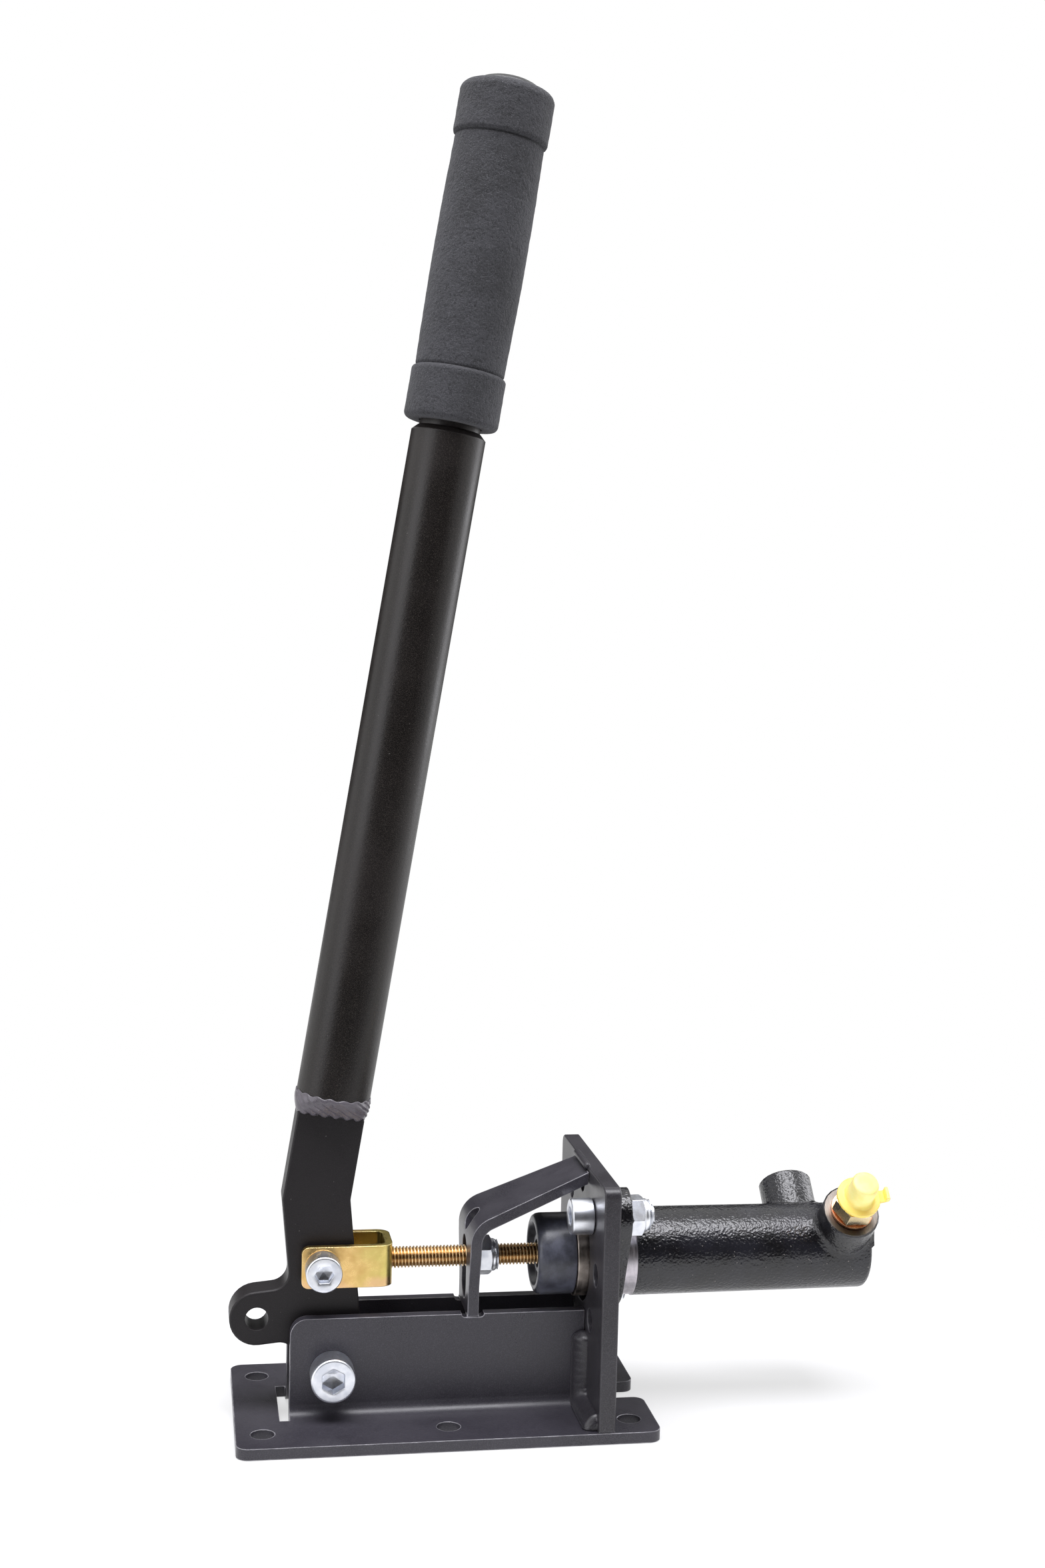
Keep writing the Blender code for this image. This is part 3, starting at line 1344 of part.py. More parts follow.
def make_outlet():
    frame = axis_frame(CYLINDER_AXIS + X_AXIS * OUTLET_X, OUTLET_UP, X_AXIS)
    low = OUTLET_HEIGHT + SEAT
    stub = OUTLET_PORT_R - SHAFT_PLAY
    washer = turned([
        (low, OUTLET_PORT_R),
        (low, WASHER_R),
        (low + WASHER_THICKNESS, WASHER_R),
        (low + WASHER_THICKNESS, OUTLET_PORT_R),
    ], SMALL_ROUND, ring=True)
    add_part("copper_washer", washer, frame, "soft_copper")
    foot = low + WASHER_THICKNESS + SEAT
    top = foot + FITTING_HEX_HEIGHT
    end = top + FITTING_NECK_LENGTH
    tail = OUTLET_HEIGHT - OUTLET_PORT_DEPTH + 0.002
    edge = 0.0006
    fitting = lofted([
        round_ring(FITTING_BORE_R, tail),
        round_ring(stub - edge, tail),
        round_ring(stub, tail + edge),
        round_ring(stub, foot),
        round_ring(FITTING_AF / 2 - edge, foot),
        hex_ring(FITTING_AF, foot + edge),
        hex_ring(FITTING_AF, top - edge),
        round_ring(FITTING_AF / 2 - edge, top),
        round_ring(FITTING_NECK_R, top),
        round_ring(FITTING_NECK_R, end - edge),
        round_ring(FITTING_NECK_R - edge, end),
        round_ring(FITTING_BORE_R, end),
    ], closed=True)
    add_part("outlet_fitting", fitting, frame, "bright_zinc")
    rim = top + SEAT
    disc_top = rim + CAP_RIM_THICKNESS
    hollow = FITTING_NECK_R + SHAFT_PLAY
    peak = rim + CAP_HEIGHT
    cap = turned([
        (end + SEAT, 0),
        (end + SEAT, hollow),
        (rim, hollow),
        (rim, CAP_RIM_R - 0.0003),
        (rim + 0.0003, CAP_RIM_R),
        (disc_top - 0.0003, CAP_RIM_R),
        (disc_top, CAP_RIM_R - 0.0003),
        (disc_top, CAP_KNOB_R + 0.0008),
        (disc_top + 0.0008, CAP_KNOB_R),
        (peak - 0.0013, CAP_KNOB_TOP_R),
        (peak - 0.0004, CAP_KNOB_TOP_R - 0.0005),
        (peak, CAP_KNOB_TOP_R - 0.0017),
        (peak, 0),
    ], SMALL_ROUND)
    obj = add_part("port_cap", cap, frame, "yellow_plastic")
    half = CAP_TAB_WIDTH / 2
    low = rim + 0.0004
    high = disc_top - 0.0004
    tip = CAP_RIM_R + CAP_TAB_REACH
    tab = outline(
        (CAP_KNOB_R, low),
        (CAP_RIM_R, low),
        (tip, disc_top, 0.001),
        (tip, disc_top + CAP_TAB_RISE, 0.0005),
        (tip - CAP_TAB_THICKNESS, disc_top + CAP_TAB_RISE, 0.0005),
        (tip - CAP_TAB_THICKNESS, high, 0.0006),
        (CAP_KNOB_R, high),
    )
    origin = CYLINDER_AXIS + X_AXIS * OUTLET_X
    join(obj, extruded(tab, -half, half), frame_at(origin, X_AXIS, OUTLET_UP))


def main():
    clear_scene()
    lever_joint = add_empty("lever_pivot_axis", PIVOT)
    rod_joint = add_empty("clevis_axis", PIN, lever_joint)
    piston_joint = add_empty("piston_axis", CYLINDER_AXIS + X_AXIS * PISTON_X)
    make_base()
    make_front_plate()
    make_guide_brace()
    make_lever_plate(lever_joint)
    make_lever_weld(lever_joint)
    make_lever_tube(lever_joint)
    make_grip(lever_joint)
    make_pivot(lever_joint)
    make_linkage(lever_joint, rod_joint)
    make_cylinder_body()
    make_flange_fasteners()
    make_piston(piston_joint)
    make_return_spring()
    make_mouth_parts()
    make_boot()
    make_outlet()


main()
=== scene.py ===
"""The looks of the hydraulic parking brake lever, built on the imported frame."""

import json
import math

import bmesh
import bpy
from mathutils import Matrix, Vector, noise

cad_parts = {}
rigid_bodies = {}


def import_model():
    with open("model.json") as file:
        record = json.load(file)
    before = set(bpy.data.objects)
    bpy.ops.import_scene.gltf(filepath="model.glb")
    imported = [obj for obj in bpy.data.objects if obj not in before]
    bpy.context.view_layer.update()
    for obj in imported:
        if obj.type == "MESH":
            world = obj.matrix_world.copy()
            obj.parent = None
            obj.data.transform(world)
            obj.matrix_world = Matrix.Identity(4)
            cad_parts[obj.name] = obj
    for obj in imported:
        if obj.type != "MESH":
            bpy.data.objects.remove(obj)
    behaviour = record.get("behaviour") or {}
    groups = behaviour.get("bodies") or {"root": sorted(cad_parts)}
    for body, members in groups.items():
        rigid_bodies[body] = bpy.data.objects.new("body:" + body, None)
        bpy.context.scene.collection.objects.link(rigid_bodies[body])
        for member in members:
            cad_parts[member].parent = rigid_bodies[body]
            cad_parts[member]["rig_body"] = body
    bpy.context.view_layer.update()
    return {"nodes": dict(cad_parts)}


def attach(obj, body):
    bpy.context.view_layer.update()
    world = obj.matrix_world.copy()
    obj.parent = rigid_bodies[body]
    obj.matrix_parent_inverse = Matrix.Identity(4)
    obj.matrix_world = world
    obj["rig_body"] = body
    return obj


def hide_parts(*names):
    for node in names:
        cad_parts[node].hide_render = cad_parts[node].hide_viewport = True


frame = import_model()
SCENE = bpy.context.scene

SAME_SPOT = 2e-6      # points closer than this are one point
TINY = 1e-7
QUARTER = math.pi / 2


# ---------------------------------------------------------------- places of the real parts, in metres
def placed(origin, along, across=(0, 1, 0)):
    """A matrix whose Z runs along the part's own axis."""
    z = Vector(along).normalized()
    x = Vector(across)
    x = (x - z * x.dot(z)).normalized()
    y = z.cross(x)
    turn = Matrix((x, y, z)).transposed().to_4x4()
    return Matrix.Translation(origin) @ turn


DIAGONAL = math.sqrt(0.5)
ROD_Z = 0.0571196
PIVOT = Vector((0.0265, 0.0, 0.0195))
PIN = Vector((0.0228114, 0.0, ROD_Z))
WALL_OUT = 0.0118         # outer face of a side wall, from the middle
CLEVIS_OUT = 0.0105       # outer face of a clevis cheek, from the middle
BRACE_FRONT = 0.0793
PLATE_REAR = 0.1188
PLATE_FRONT = 0.1248
FLANGE_FRONT = 0.1315
BOLT_OUT = 0.0272 * DIAGONAL
INLET = placed((0.2023, 0, ROD_Z), (0, DIAGONAL, DIAGONAL), (1, 0, 0))
OUTLET = placed((0.2166, 0, ROD_Z), (0, -DIAGONAL, DIAGONAL), (1, 0, 0))

KNEE = Vector((0.02050, 0.0, 0.08071))
LEVER_LEAN = math.radians(8.8)
LEVER = placed(KNEE, (math.sin(LEVER_LEAN), 0, math.cos(LEVER_LEAN)))
TUBE_FOOT = 0.0379        # along the lever from its knee
TUBE_LENGTH = 0.241

# Sizes of the socket screws: shank, head, socket, and the stretch at the end that carries a thread
M8 = {"thread": 0.008, "head": 0.013, "tall": 0.008, "key": 0.006, "cut": 0.005, "pitch": 0.00125}
M10 = {"thread": 0.010, "head": 0.0159, "tall": 0.0098, "key": 0.008, "cut": 0.006, "pitch": 0.0015}
M8_NUT = {"thread": 0.008, "across": 0.013, "tall": 0.0078}
M10_NUT = {"thread": 0.010, "across": 0.017, "tall": 0.010}


# ---------------------------------------------------------------- colours
def paint(red, green, blue):
    """A colour as seen on screen, 0 to 255, as Blender's linear colour."""
    out = []
    for value in (red, green, blue):
        c = value / 255
        out.append(c / 12.92 if c <= 0.04045 else ((c + 0.055) / 1.055) ** 2.4)
    return (*out, 1.0)


# ---------------------------------------------------------------- node trees
class Bench:
    """Adds and joins nodes in one tree."""

    def __init__(self, tree):
        self.tree = tree

    def add(self, kind, feeds=None, **settings):
        node = self.tree.nodes.new(kind)
        for key, value in settings.items():
            setattr(node, key, value)
        for key, value in (feeds or {}).items():
            self.feed(node.inputs[key], value)
        return node

    def feed(self, socket, value):
        if isinstance(value, bpy.types.NodeSocket):
            self.tree.links.new(value, socket)
        else:
            socket.default_value = value

    def maths(self, operation, *values):
        node = self.add("ShaderNodeMath", operation=operation)
        for socket, value in zip(node.inputs, values):
            self.feed(socket, value)
        return node.outputs[0]

    def plus(self, a, b):
        return self.maths("ADD", a, b)

    def minus(self, a, b):
        return self.maths("SUBTRACT", a, b)

    def times(self, a, b):
        return self.maths("MULTIPLY", a, b)

    def over(self, a, b):
        return self.maths("DIVIDE", a, b)

    def most(self, a, b):
        return self.maths("MAXIMUM", a, b)

    def least(self, a, b):
        return self.maths("MINIMUM", a, b)

    def vector(self, operation, a, b=None):
        node = self.add("ShaderNodeVectorMath", {0: a}, operation=operation)
        if b is not None:
            self.feed(node.inputs[1], b)
        return node.outputs["Value" if operation in ("DOT_PRODUCT", "LENGTH") else "Vector"]

    def span(self, value, low, high, to_low=0.0, to_high=1.0, ease="SMOOTHSTEP"):
        """A value's stretch from low to high, taken to another stretch and held beyond it."""
        ends = {"Value": value, "From Min": low, "From Max": high, "To Min": to_low, "To Max": to_high}
        return self.add("ShaderNodeMapRange", ends, interpolation_type=ease).outputs["Result"]

    def rises(self, value, low, high):
        return self.span(value, low, high, ease="LINEAR")

    def falls(self, value, low, high):
        return self.span(value, low, high, 1.0, 0.0, "LINEAR")

    def seen_rays(self):
        """1 for what the eye sees straight, mirrored or through glass, 0 for light that bounces."""
        rays = self.add("ShaderNodeLightPath").outputs
        return self.most(rays["Is Camera Ray"], self.most(rays["Is Glossy Ray"], rays["Is Transmission Ray"]))


class Finish(Bench):
    """One procedural surface finish, patterned in the object's own metres."""

    SOCKETS = {
        "colour": "Base Color", "roughness": "Roughness", "metal": "Metallic", "normal": "Normal",
        "specular": "Specular IOR Level", "sheen": "Sheen Weight", "sheen_roughness": "Sheen Roughness",
        "subsurface": "Subsurface Weight", "subsurface_scale": "Subsurface Scale",
    }

    def __init__(self, name):
        self.material = bpy.data.materials.new(name)
        self.material.use_nodes = True
        super().__init__(self.material.node_tree)
        self.shader = self.tree.nodes["Principled BSDF"]
        self.place = self.add("ShaderNodeTexCoord").outputs["Object"]
        self.bevel_normal = None

    def speckle(self, size, detail=2.0, roughness=0.5, place=None):
        """Soft noise whose lumps have a size in metres."""
        feeds = {"Vector": place or self.place, "Scale": 1 / size, "Detail": detail, "Roughness": roughness}
        return self.add("ShaderNodeTexNoise", feeds).outputs["Fac"]

    def ranged(self, speckle, low, high):
        """A speckle's usual values, taken to a stretch."""
        return self.span(speckle, 0.3, 0.7, low, high)

    def patches(self, size, low, high, detail=3.0, roughness=0.5):
        """Soft patches, 0 to 1: a speckle cut off below low and above high."""
        return self.span(self.speckle(size, detail, roughness), low, high)

    def pits(self, size, smooth):
        """Rounded cells, low in their middles."""
        node = self.add("ShaderNodeTexVoronoi", {"Vector": self.place, "Scale": 1 / size, "Randomness": 1.0},
                        feature="SMOOTH_F1")
        node.inputs["Smoothness"].default_value = smooth
        return node.outputs["Distance"]

    def mix(self, factor, a, b, mode="MIX"):
        node = self.add("ShaderNodeMix", data_type="RGBA", blend_type=mode)
        for index, value in ((0, factor), (6, a), (7, b)):
            self.feed(node.inputs[index], value)
        return node.outputs[2]

    def laid(self, tone, mask, share, colour, mode="MIX"):
        """A colour laid over a tone where a mask says, and no stronger than its share."""
        return self.mix(self.times(mask, share), tone, paint(*colour), mode)

    def rounded(self, radius):
        """The surface direction as if each sharp edge were rounded off."""
        self.bevel_normal = self.add("ShaderNodeBevel", {"Radius": radius}, samples=6).outputs["Normal"]
        return self.bevel_normal

    def edges(self):
        """0 on flats, 1 along edges."""
        true = self.add("ShaderNodeNewGeometry").outputs["Normal"]
        turned = self.minus(1.0, self.vector("DOT_PRODUCT", self.bevel_normal, true))
        return self.span(turned, 0.03, 0.22)

    def bump(self, height, depth, strength=1.0, normal=None):
        node = self.add("ShaderNodeBump", {"Height": height, "Distance": depth, "Strength": strength})
        if normal is not None:
            self.feed(node.inputs["Normal"], normal)
        return node.outputs["Normal"]

    def turned_to(self, matrix):
        """The surface's point in a part's own frame, with Z along its axis."""
        inverse = matrix.inverted()
        feeds = {"Vector": self.place, "Location": inverse.translation, "Rotation": inverse.to_euler("XYZ")}
        return self.add("ShaderNodeMapping", feeds, vector_type="POINT").outputs["Vector"]

    def split(self, vector):
        return self.add("ShaderNodeSeparateXYZ", {"Vector": vector}).outputs

    def set(self, **sockets):
        for key, value in sockets.items():
            self.feed(self.shader.inputs[self.SOCKETS[key]], value)
        return self.material


def powder_coat(name, deep, bright, rough, specular, peel_depth=0.00004, edge_wear_and_highlight_tone=(120, 118, 124),
                edge_wear_and_highlight_share=0.6, edge_radius=0.0008, grain_tone=(118, 116, 122)):
    """Baked black powder coat: fine orange peel, and lighter along its edges, partly where it pulls thin there and
    partly as a painted highlight.
    """
    f = Finish(name)
    normal = f.rounded(edge_radius)
    worn_and_highlit_edge = f.edges()
    cloud = f.patches(0.035, 0.3, 0.7, roughness=0.6)
    peel = f.speckle(0.0011, 1.5)
    grain = f.speckle(0.0003, 2.0, 0.6)
    dust = f.patches(0.0009, 0.79, 0.83, 1.0, 0.4)
    tone = f.mix(f.times(cloud, 0.8), paint(*deep), paint(*bright))
    tone = f.laid(tone, f.span(grain, 0.45, 0.72), 0.18, grain_tone)
    tone = f.laid(tone, dust, 0.25, (140, 136, 132))
    # Lighter edges: partly coat pulled thin, partly a painted highlight.
    patch = f.span(f.speckle(0.005, 3.0), 0.35, 0.7, edge_wear_and_highlight_share * 0.45, edge_wear_and_highlight_share)
    tone = f.mix(f.times(worn_and_highlit_edge, patch), tone, paint(*edge_wear_and_highlight_tone))
    shine = f.plus(f.span(cloud, 0, 1, rough - 0.03, rough + 0.05), f.ranged(grain, -0.04, 0.05))
    height = f.plus(peel, f.times(grain, 0.35))
    return f.set(colour=tone, roughness=shine, specular=specular,
                 normal=f.bump(height, peel_depth, 0.8, normal))


def foam_rubber():
    """Closed-cell grip foam: fine crumbs and a mottled matt grey."""
    f = Finish("grip_foam")
    crumbs = f.speckle(0.0010, 2.0, 0.6)
    fine = f.speckle(0.0004, 3.0, 0.65)
    lumps = f.speckle(0.0032, 3.0, 0.6)
    tone = f.mix(f.patches(0.018, 0.3, 0.7), paint(49, 49, 51), paint(60, 60, 63))
    tone = f.mix(f.span(crumbs, 0.30, 0.50, 0.6, 0.0), tone, paint(32, 32, 33))
    tone = f.mix(f.span(fine, 0.50, 0.72, 0.0, 0.6), tone, paint(96, 96, 100))
    height = f.plus(crumbs, f.plus(f.times(fine, 0.4), f.times(lumps, 0.7)))
    return f.set(colour=tone, roughness=f.ranged(fine, 0.84, 0.98), specular=0.25, sheen=0.08,
                 sheen_roughness=0.5, normal=f.bump(height, 0.00042))


def moulded_black():
    """Hard black plastic, with a painted highlight that makes it a little paler along its edges."""
    f = Finish("black_moulding")
    normal = f.rounded(0.0004)
    grain = f.speckle(0.0005)
    tone = f.mix(f.patches(0.006, 0.3, 0.7), paint(16, 16, 17), paint(26, 26, 27))
    # Painted highlight: paler edges.
    tone = f.laid(tone, f.edges(), 0.25, (70, 70, 72))
    return f.set(colour=tone, roughness=f.ranged(grain, 0.31, 0.41), specular=0.5,
                 normal=f.bump(grain, 0.00003, 0.7, normal))


def plated(name, light, dark, stain, rough=0.30):
    """Zinc-plated steel: smooth and bright, a little cloudy, duller in its low spots, with a painted highlight along
    its edges.
    """
    f = Finish(name)
    normal = f.rounded(0.0003)
    cloud = f.patches(0.006, 0.38, 0.66, roughness=0.55)
    crystal = f.speckle(0.0003, 3.0, 0.7)
    tone = f.mix(cloud, paint(*light), paint(*dark))
    tone = f.laid(tone, f.patches(0.0102, 0.52, 0.78, roughness=0.6), 0.4, stain)
    # Painted highlight: edges screened whiter.
    tone = f.laid(tone, f.edges(), 0.25, (255, 255, 255), "SCREEN")
    shine = f.plus(f.span(cloud, 0, 1, rough, rough + 0.07), f.ranged(crystal, -0.03, 0.05))
    return f.set(colour=tone, roughness=shine, metal=1.0, normal=f.bump(crystal, 0.000012, 0.5, normal))


def clevis_zinc():
    """Yellow-passivated sheet: straw gold, greener ahead, pink along its foot, darker olive inside between the
    cheeks as painted shade, and a painted highlight along its edges.
    """
    f = Finish("clevis_zinc")
    normal = f.rounded(0.0005)
    spot = f.split(f.place)
    cloud = f.patches(0.005, 0.35, 0.68, roughness=0.55)
    crystal = f.speckle(0.0003, 3.0, 0.7)
    wander = f.times(f.minus(f.speckle(0.007), 0.5), 0.012)
    ahead = f.span(f.plus(spot[0], wander), 0.033, 0.046)
    foot = f.span(f.plus(spot[2], wander), ROD_Z - 0.0078, ROD_Z - 0.0035, 1.0, 0.0)
    # Painted shade: darker olive on the faces between the cheeks.
    shaded_between_cheeks = f.span(f.maths("ABSOLUTE", spot[1]), CLEVIS_OUT - 0.0025, CLEVIS_OUT - 0.0010, 1.0, 0.0)
    tone = f.mix(cloud, paint(246, 208, 138), paint(234, 192, 120))
    tone = f.laid(tone, ahead, 0.7, (224, 214, 124))
    tone = f.laid(tone, foot, 0.75, (248, 204, 156))
    tone = f.laid(tone, shaded_between_cheeks, 0.55, (150, 132, 62))
    # Painted highlight along the edges.
    tone = f.laid(tone, f.edges(), 0.5, (255, 246, 190))
    shine = f.plus(f.span(cloud, 0, 1, 0.28, 0.36), f.ranged(crystal, -0.03, 0.05))
    return f.set(colour=tone, roughness=shine, metal=1.0, normal=f.bump(crystal, 0.000014, 0.5, normal))


def rod_zinc():
    """Yellow-passivated thread: copper-gold crests that run to a painted shade of brown in the roots."""
    f = Finish("rod_zinc")
    spot = f.split(f.turned_to(placed((0, 0, ROD_Z), (1, 0, 0))))
    out = f.maths("SQRT", f.plus(f.times(spot[0], spot[0]), f.times(spot[1], spot[1])))
    crest = f.span(out, 0.00325, 0.00385)
    cloud = f.patches(0.009, 0.35, 0.68, roughness=0.6)
    fine = f.speckle(0.0003, 3.0, 0.6)
    tone = f.mix(cloud, paint(252, 222, 176), paint(242, 208, 154))
    # Painted shade: brown in the thread roots, copper-gold on the crests.
    tone = f.mix(crest, paint(166, 128, 84), tone)
    return f.set(colour=tone, roughness=f.ranged(fine, 0.24, 0.36), metal=1.0, normal=f.bump(fine, 0.00002, 0.6))


def cast_black():
    """Black-enamelled casting with bright specks as painted glints, and turned metal at its neck, spigot and port
    rims.
    """
    f = Finish("cast_black")
    normal = f.rounded(0.0008)
    lumps = f.speckle(0.0011)
    grit = f.speckle(0.0005, 2.0, 0.6)
    glint_specks = f.patches(0.0007, 0.755, 0.79, 1.0, 0.4)
    black = f.mix(f.patches(0.012, 0.3, 0.7), paint(16, 15, 17), paint(30, 30, 36))
    # Painted glints: light specks over the enamel.
    black = f.laid(black, glint_specks, 0.6, (150, 144, 138))
    height = f.plus(lumps, f.plus(f.times(f.pits(0.0009, 0.8), 0.6), f.times(grit, 0.12)))
    enamel = f.add("ShaderNodeBsdfPrincipled", {
        "Base Color": black, "Roughness": f.ranged(grit, 0.16, 0.27), "Specular IOR Level": 0.65,
        "Normal": f.bump(height, 0.00023, 1.0, normal)})

    x = f.split(f.place)[0]
    behind_flange = f.rises(x, 0.170, 0.171)
    lathe_lines = f.speckle(0.00035, place=f.vector("MULTIPLY", f.place, (1.0, 0.02, 0.02)))
    iron = f.mix(f.patches(0.004, 0.35, 0.65), paint(176, 166, 158), paint(134, 126, 120))
    silver = f.mix(f.patches(0.003, 0.35, 0.65), paint(208, 202, 208), paint(184, 180, 186))
    tone = f.mix(f.rises(x, 0.128, 0.129), iron, silver)
    tone = f.mix(behind_flange, tone, paint(108, 102, 96))
    f.set(colour=tone, roughness=f.ranged(lathe_lines, 0.30, 0.44), metal=1.0,
          normal=f.bump(lathe_lines, 0.00004, 0.7, f.rounded(0.0003)))

    neck = f.times(f.rises(x, FLANGE_FRONT + 0.00005, FLANGE_FRONT + 0.00015), f.falls(x, 0.1369, 0.1370))
    spigot = f.falls(x, PLATE_FRONT + 0.0001, PLATE_FRONT + 0.0002)
    turned = f.most(neck, spigot)
    for port, top in ((INLET, 0.0270), (OUTLET, 0.0258)):
        up = f.split(f.turned_to(port))[2]
        turned = f.most(turned, f.times(behind_flange, f.rises(up, top - 0.00025, top - 0.0001)))
    shader = f.add("ShaderNodeMixShader", {0: turned, 1: enamel.outputs[0], 2: f.shader.outputs[0]})
    f.feed(f.tree.nodes["Material Output"].inputs["Surface"], shader.outputs[0])
    return f.material


def boot_rubber():
    """Moulded rubber: near black with a bluish bloom that is partly the rubber's own and partly painted sheen, and a
    painted highlight along its edges.
    """
    f = Finish("black_rubber")
    normal = f.rounded(0.0008)
    bloom_and_sheen = f.patches(0.007, 0.35, 0.75, 4.0, 0.6)
    # Lighter bluish patches: partly rubber bloom, partly painted sheen.
    tone = f.mix(bloom_and_sheen, paint(54, 55, 63), paint(86, 88, 101))
    # Painted highlight along the edges.
    tone = f.laid(tone, f.edges(), 0.35, (96, 98, 106))
    return f.set(colour=tone, roughness=f.span(bloom_and_sheen, 0, 1, 0.34, 0.46), specular=0.6,
                 normal=f.bump(f.speckle(0.0006), 0.00005, 0.6, normal))


def cap_plastic():
    """Soft yellow plastic: pale at its top and deeper towards its foot, with a painted highlight along its edges."""
    f = Finish("yellow_plastic")
    normal = f.rounded(0.0006)
    up = f.split(f.turned_to(OUTLET))[2]
    tone = f.mix(f.patches(0.005, 0.3, 0.7), paint(255, 240, 160), paint(253, 233, 138))
    tone = f.laid(tone, f.span(up, 0.0350, 0.0395, 1.0, 0.0), 0.75, (252, 210, 60))
    # Painted highlight along the edges.
    tone = f.laid(tone, f.edges(), 0.4, (255, 250, 200))
    return f.set(colour=tone, roughness=f.ranged(f.speckle(0.0008), 0.34, 0.46), specular=0.4,
                 subsurface=0.25, subsurface_scale=0.003,
                 normal=f.bump(f.speckle(0.0012), 0.00004, 0.6, normal))


def plain_metal(name, light, dark, rough):
    """Bare metal with a fine, cloudy surface."""
    f = Finish(name)
    normal = f.rounded(0.0003)
    fine = f.speckle(0.0006, 3.0, 0.6)
    tone = f.mix(f.patches(0.004, 0.35, 0.68, roughness=0.6), paint(*light), paint(*dark))
    return f.set(colour=tone, roughness=f.ranged(fine, rough - 0.05, rough + 0.07), metal=1.0,
                 normal=f.bump(fine, 0.00003, 0.6, normal))


FINISHES = {
    # The frame coat's near-white edge tone is mostly a painted highlight along its edges.
    "frame_coat": powder_coat("frame_coat", (44, 42, 49), (56, 54, 61), 0.33, 0.5,
                              edge_wear_and_highlight_tone=(214, 212, 218), edge_wear_and_highlight_share=0.9, edge_radius=0.0007),
    # The front plate's coat is the frame's black powder coat painted darker: painted shade.
    "plate_coat": powder_coat("plate_coat", (36, 34, 38), (47, 45, 50), 0.34, 0.5),
    "lever_coat": powder_coat("lever_coat", (24, 21, 23), (29, 26, 28), 0.45, 0.32, peel_depth=0.00005,
                              edge_wear_and_highlight_tone=(66, 62, 62), edge_wear_and_highlight_share=0.3, grain_tone=(70, 66, 68)),
    "tube_coat": powder_coat("tube_coat", (20, 17, 16), (29, 25, 24), 0.36, 0.42, peel_depth=0.00005,
                             edge_wear_and_highlight_tone=(84, 78, 76), edge_wear_and_highlight_share=0.3, grain_tone=(92, 84, 76)),
    # The weld coat is the lever's black coat painted paler: painted sheen on the glossy bead.
    "weld_coat": powder_coat("weld_coat", (72, 68, 73), (104, 99, 106), 0.3, 0.5,
                             edge_wear_and_highlight_tone=(120, 116, 122), edge_wear_and_highlight_share=0.5, edge_radius=0.0004),
    "grip_foam": foam_rubber(),
    "black_moulding": moulded_black(),
    "bright_zinc": plated("bright_zinc", (246, 248, 253), (226, 230, 239), (196, 200, 210)),
    "clevis_zinc": clevis_zinc(),
    "rod_zinc": rod_zinc(),
    "fitting_zinc": plated("fitting_zinc", (250, 236, 204), (236, 214, 168), (214, 186, 132), 0.22),
    "bronze_bush": plain_metal("bronze_bush", (190, 150, 96), (160, 122, 74), 0.35),
    "cast_black": cast_black(),
    "black_rubber": boot_rubber(),
    "turned_aluminium": plain_metal("turned_aluminium", (206, 208, 210), (184, 186, 190), 0.3),
    "spring_steel": plain_metal("spring_steel", (150, 148, 148), (116, 114, 114), 0.32),
    "soft_copper": plain_metal("soft_copper", (246, 186, 146), (226, 160, 118), 0.3),
    "yellow_plastic": cap_plastic(),
}

# Each piece's finish, and the record's slot that it belongs to where the names differ
PIECES = {
    "base_frame": ("frame_coat", "black_powder_coat"), "front_plate": ("plate_coat", "black_powder_coat"),
    "guide_brace": ("frame_coat", "black_powder_coat"),
    "lever_plate": ("lever_coat", "black_lever_coat"), "lever_tube": ("tube_coat", "black_lever_coat"),
    "lever_weld": ("weld_coat", "black_lever_coat"), "grip_tube": ("tube_coat", "black_lever_coat"),
    "foam_grip": ("grip_foam",), "grip_end_plug": ("black_moulding",),
    "pivot_bush": ("bronze_bush",), "clevis_bush": ("bronze_bush",),
    "pivot_bolt": ("bright_zinc",), "pivot_nut": ("bright_zinc",),
    "pivot_spacer_near": ("bright_zinc",), "pivot_spacer_far": ("bright_zinc",),
    "clevis": ("clevis_zinc", "yellow_zinc"), "clevis_bolt": ("bright_zinc",), "clevis_nut": ("bright_zinc",),
    "pushrod": ("rod_zinc", "yellow_zinc"), "rod_stop_nut": ("bright_zinc",),
    "cylinder_body": ("cast_black",), "piston": ("turned_aluminium",),
    "primary_seal": ("black_rubber",), "secondary_seal": ("black_rubber",),
    "return_spring": ("spring_steel",), "stop_washer": ("turned_aluminium", "bright_zinc"),
    "retaining_circlip": ("spring_steel",),
    "dust_boot": ("black_rubber",), "outlet_fitting": ("fitting_zinc", "bright_zinc"),
    "copper_washer": ("soft_copper",), "port_cap": ("yellow_plastic",),
    "flange_bolt_near": ("bright_zinc",), "flange_bolt_far": ("bright_zinc",),
    "flange_nut_near": ("bright_zinc",), "flange_nut_far": ("bright_zinc",),
}

# Nodes that the makers below build anew; every other one keeps its CAD shape
BUILT_ANEW = ("pushrod", "lever_weld", "foam_grip", "pivot_bolt", "pivot_nut", "clevis_bolt", "clevis_nut",
              "rod_stop_nut", "flange_bolt_near", "flange_bolt_far", "flange_nut_near", "flange_nut_far")


# ---------------------------------------------------------------- pieces
def piece(name, mesh, like, stands_for=(), finish=None):
    """Puts a finished mesh in the scene: body and finish are those of the node that it is like."""
    made = bpy.data.objects.new(name, mesh)
    SCENE.collection.objects.link(made)
    mesh.materials.clear()
    mesh.materials.append(FINISHES[finish or PIECES[like][0]])
    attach(made, frame["nodes"][like]["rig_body"])
    if stands_for:
        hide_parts(*stands_for)
    return made


def meshed(work, name):
    mesh = bpy.data.meshes.new(name)
    work.to_mesh(mesh)
    work.free()
    return mesh


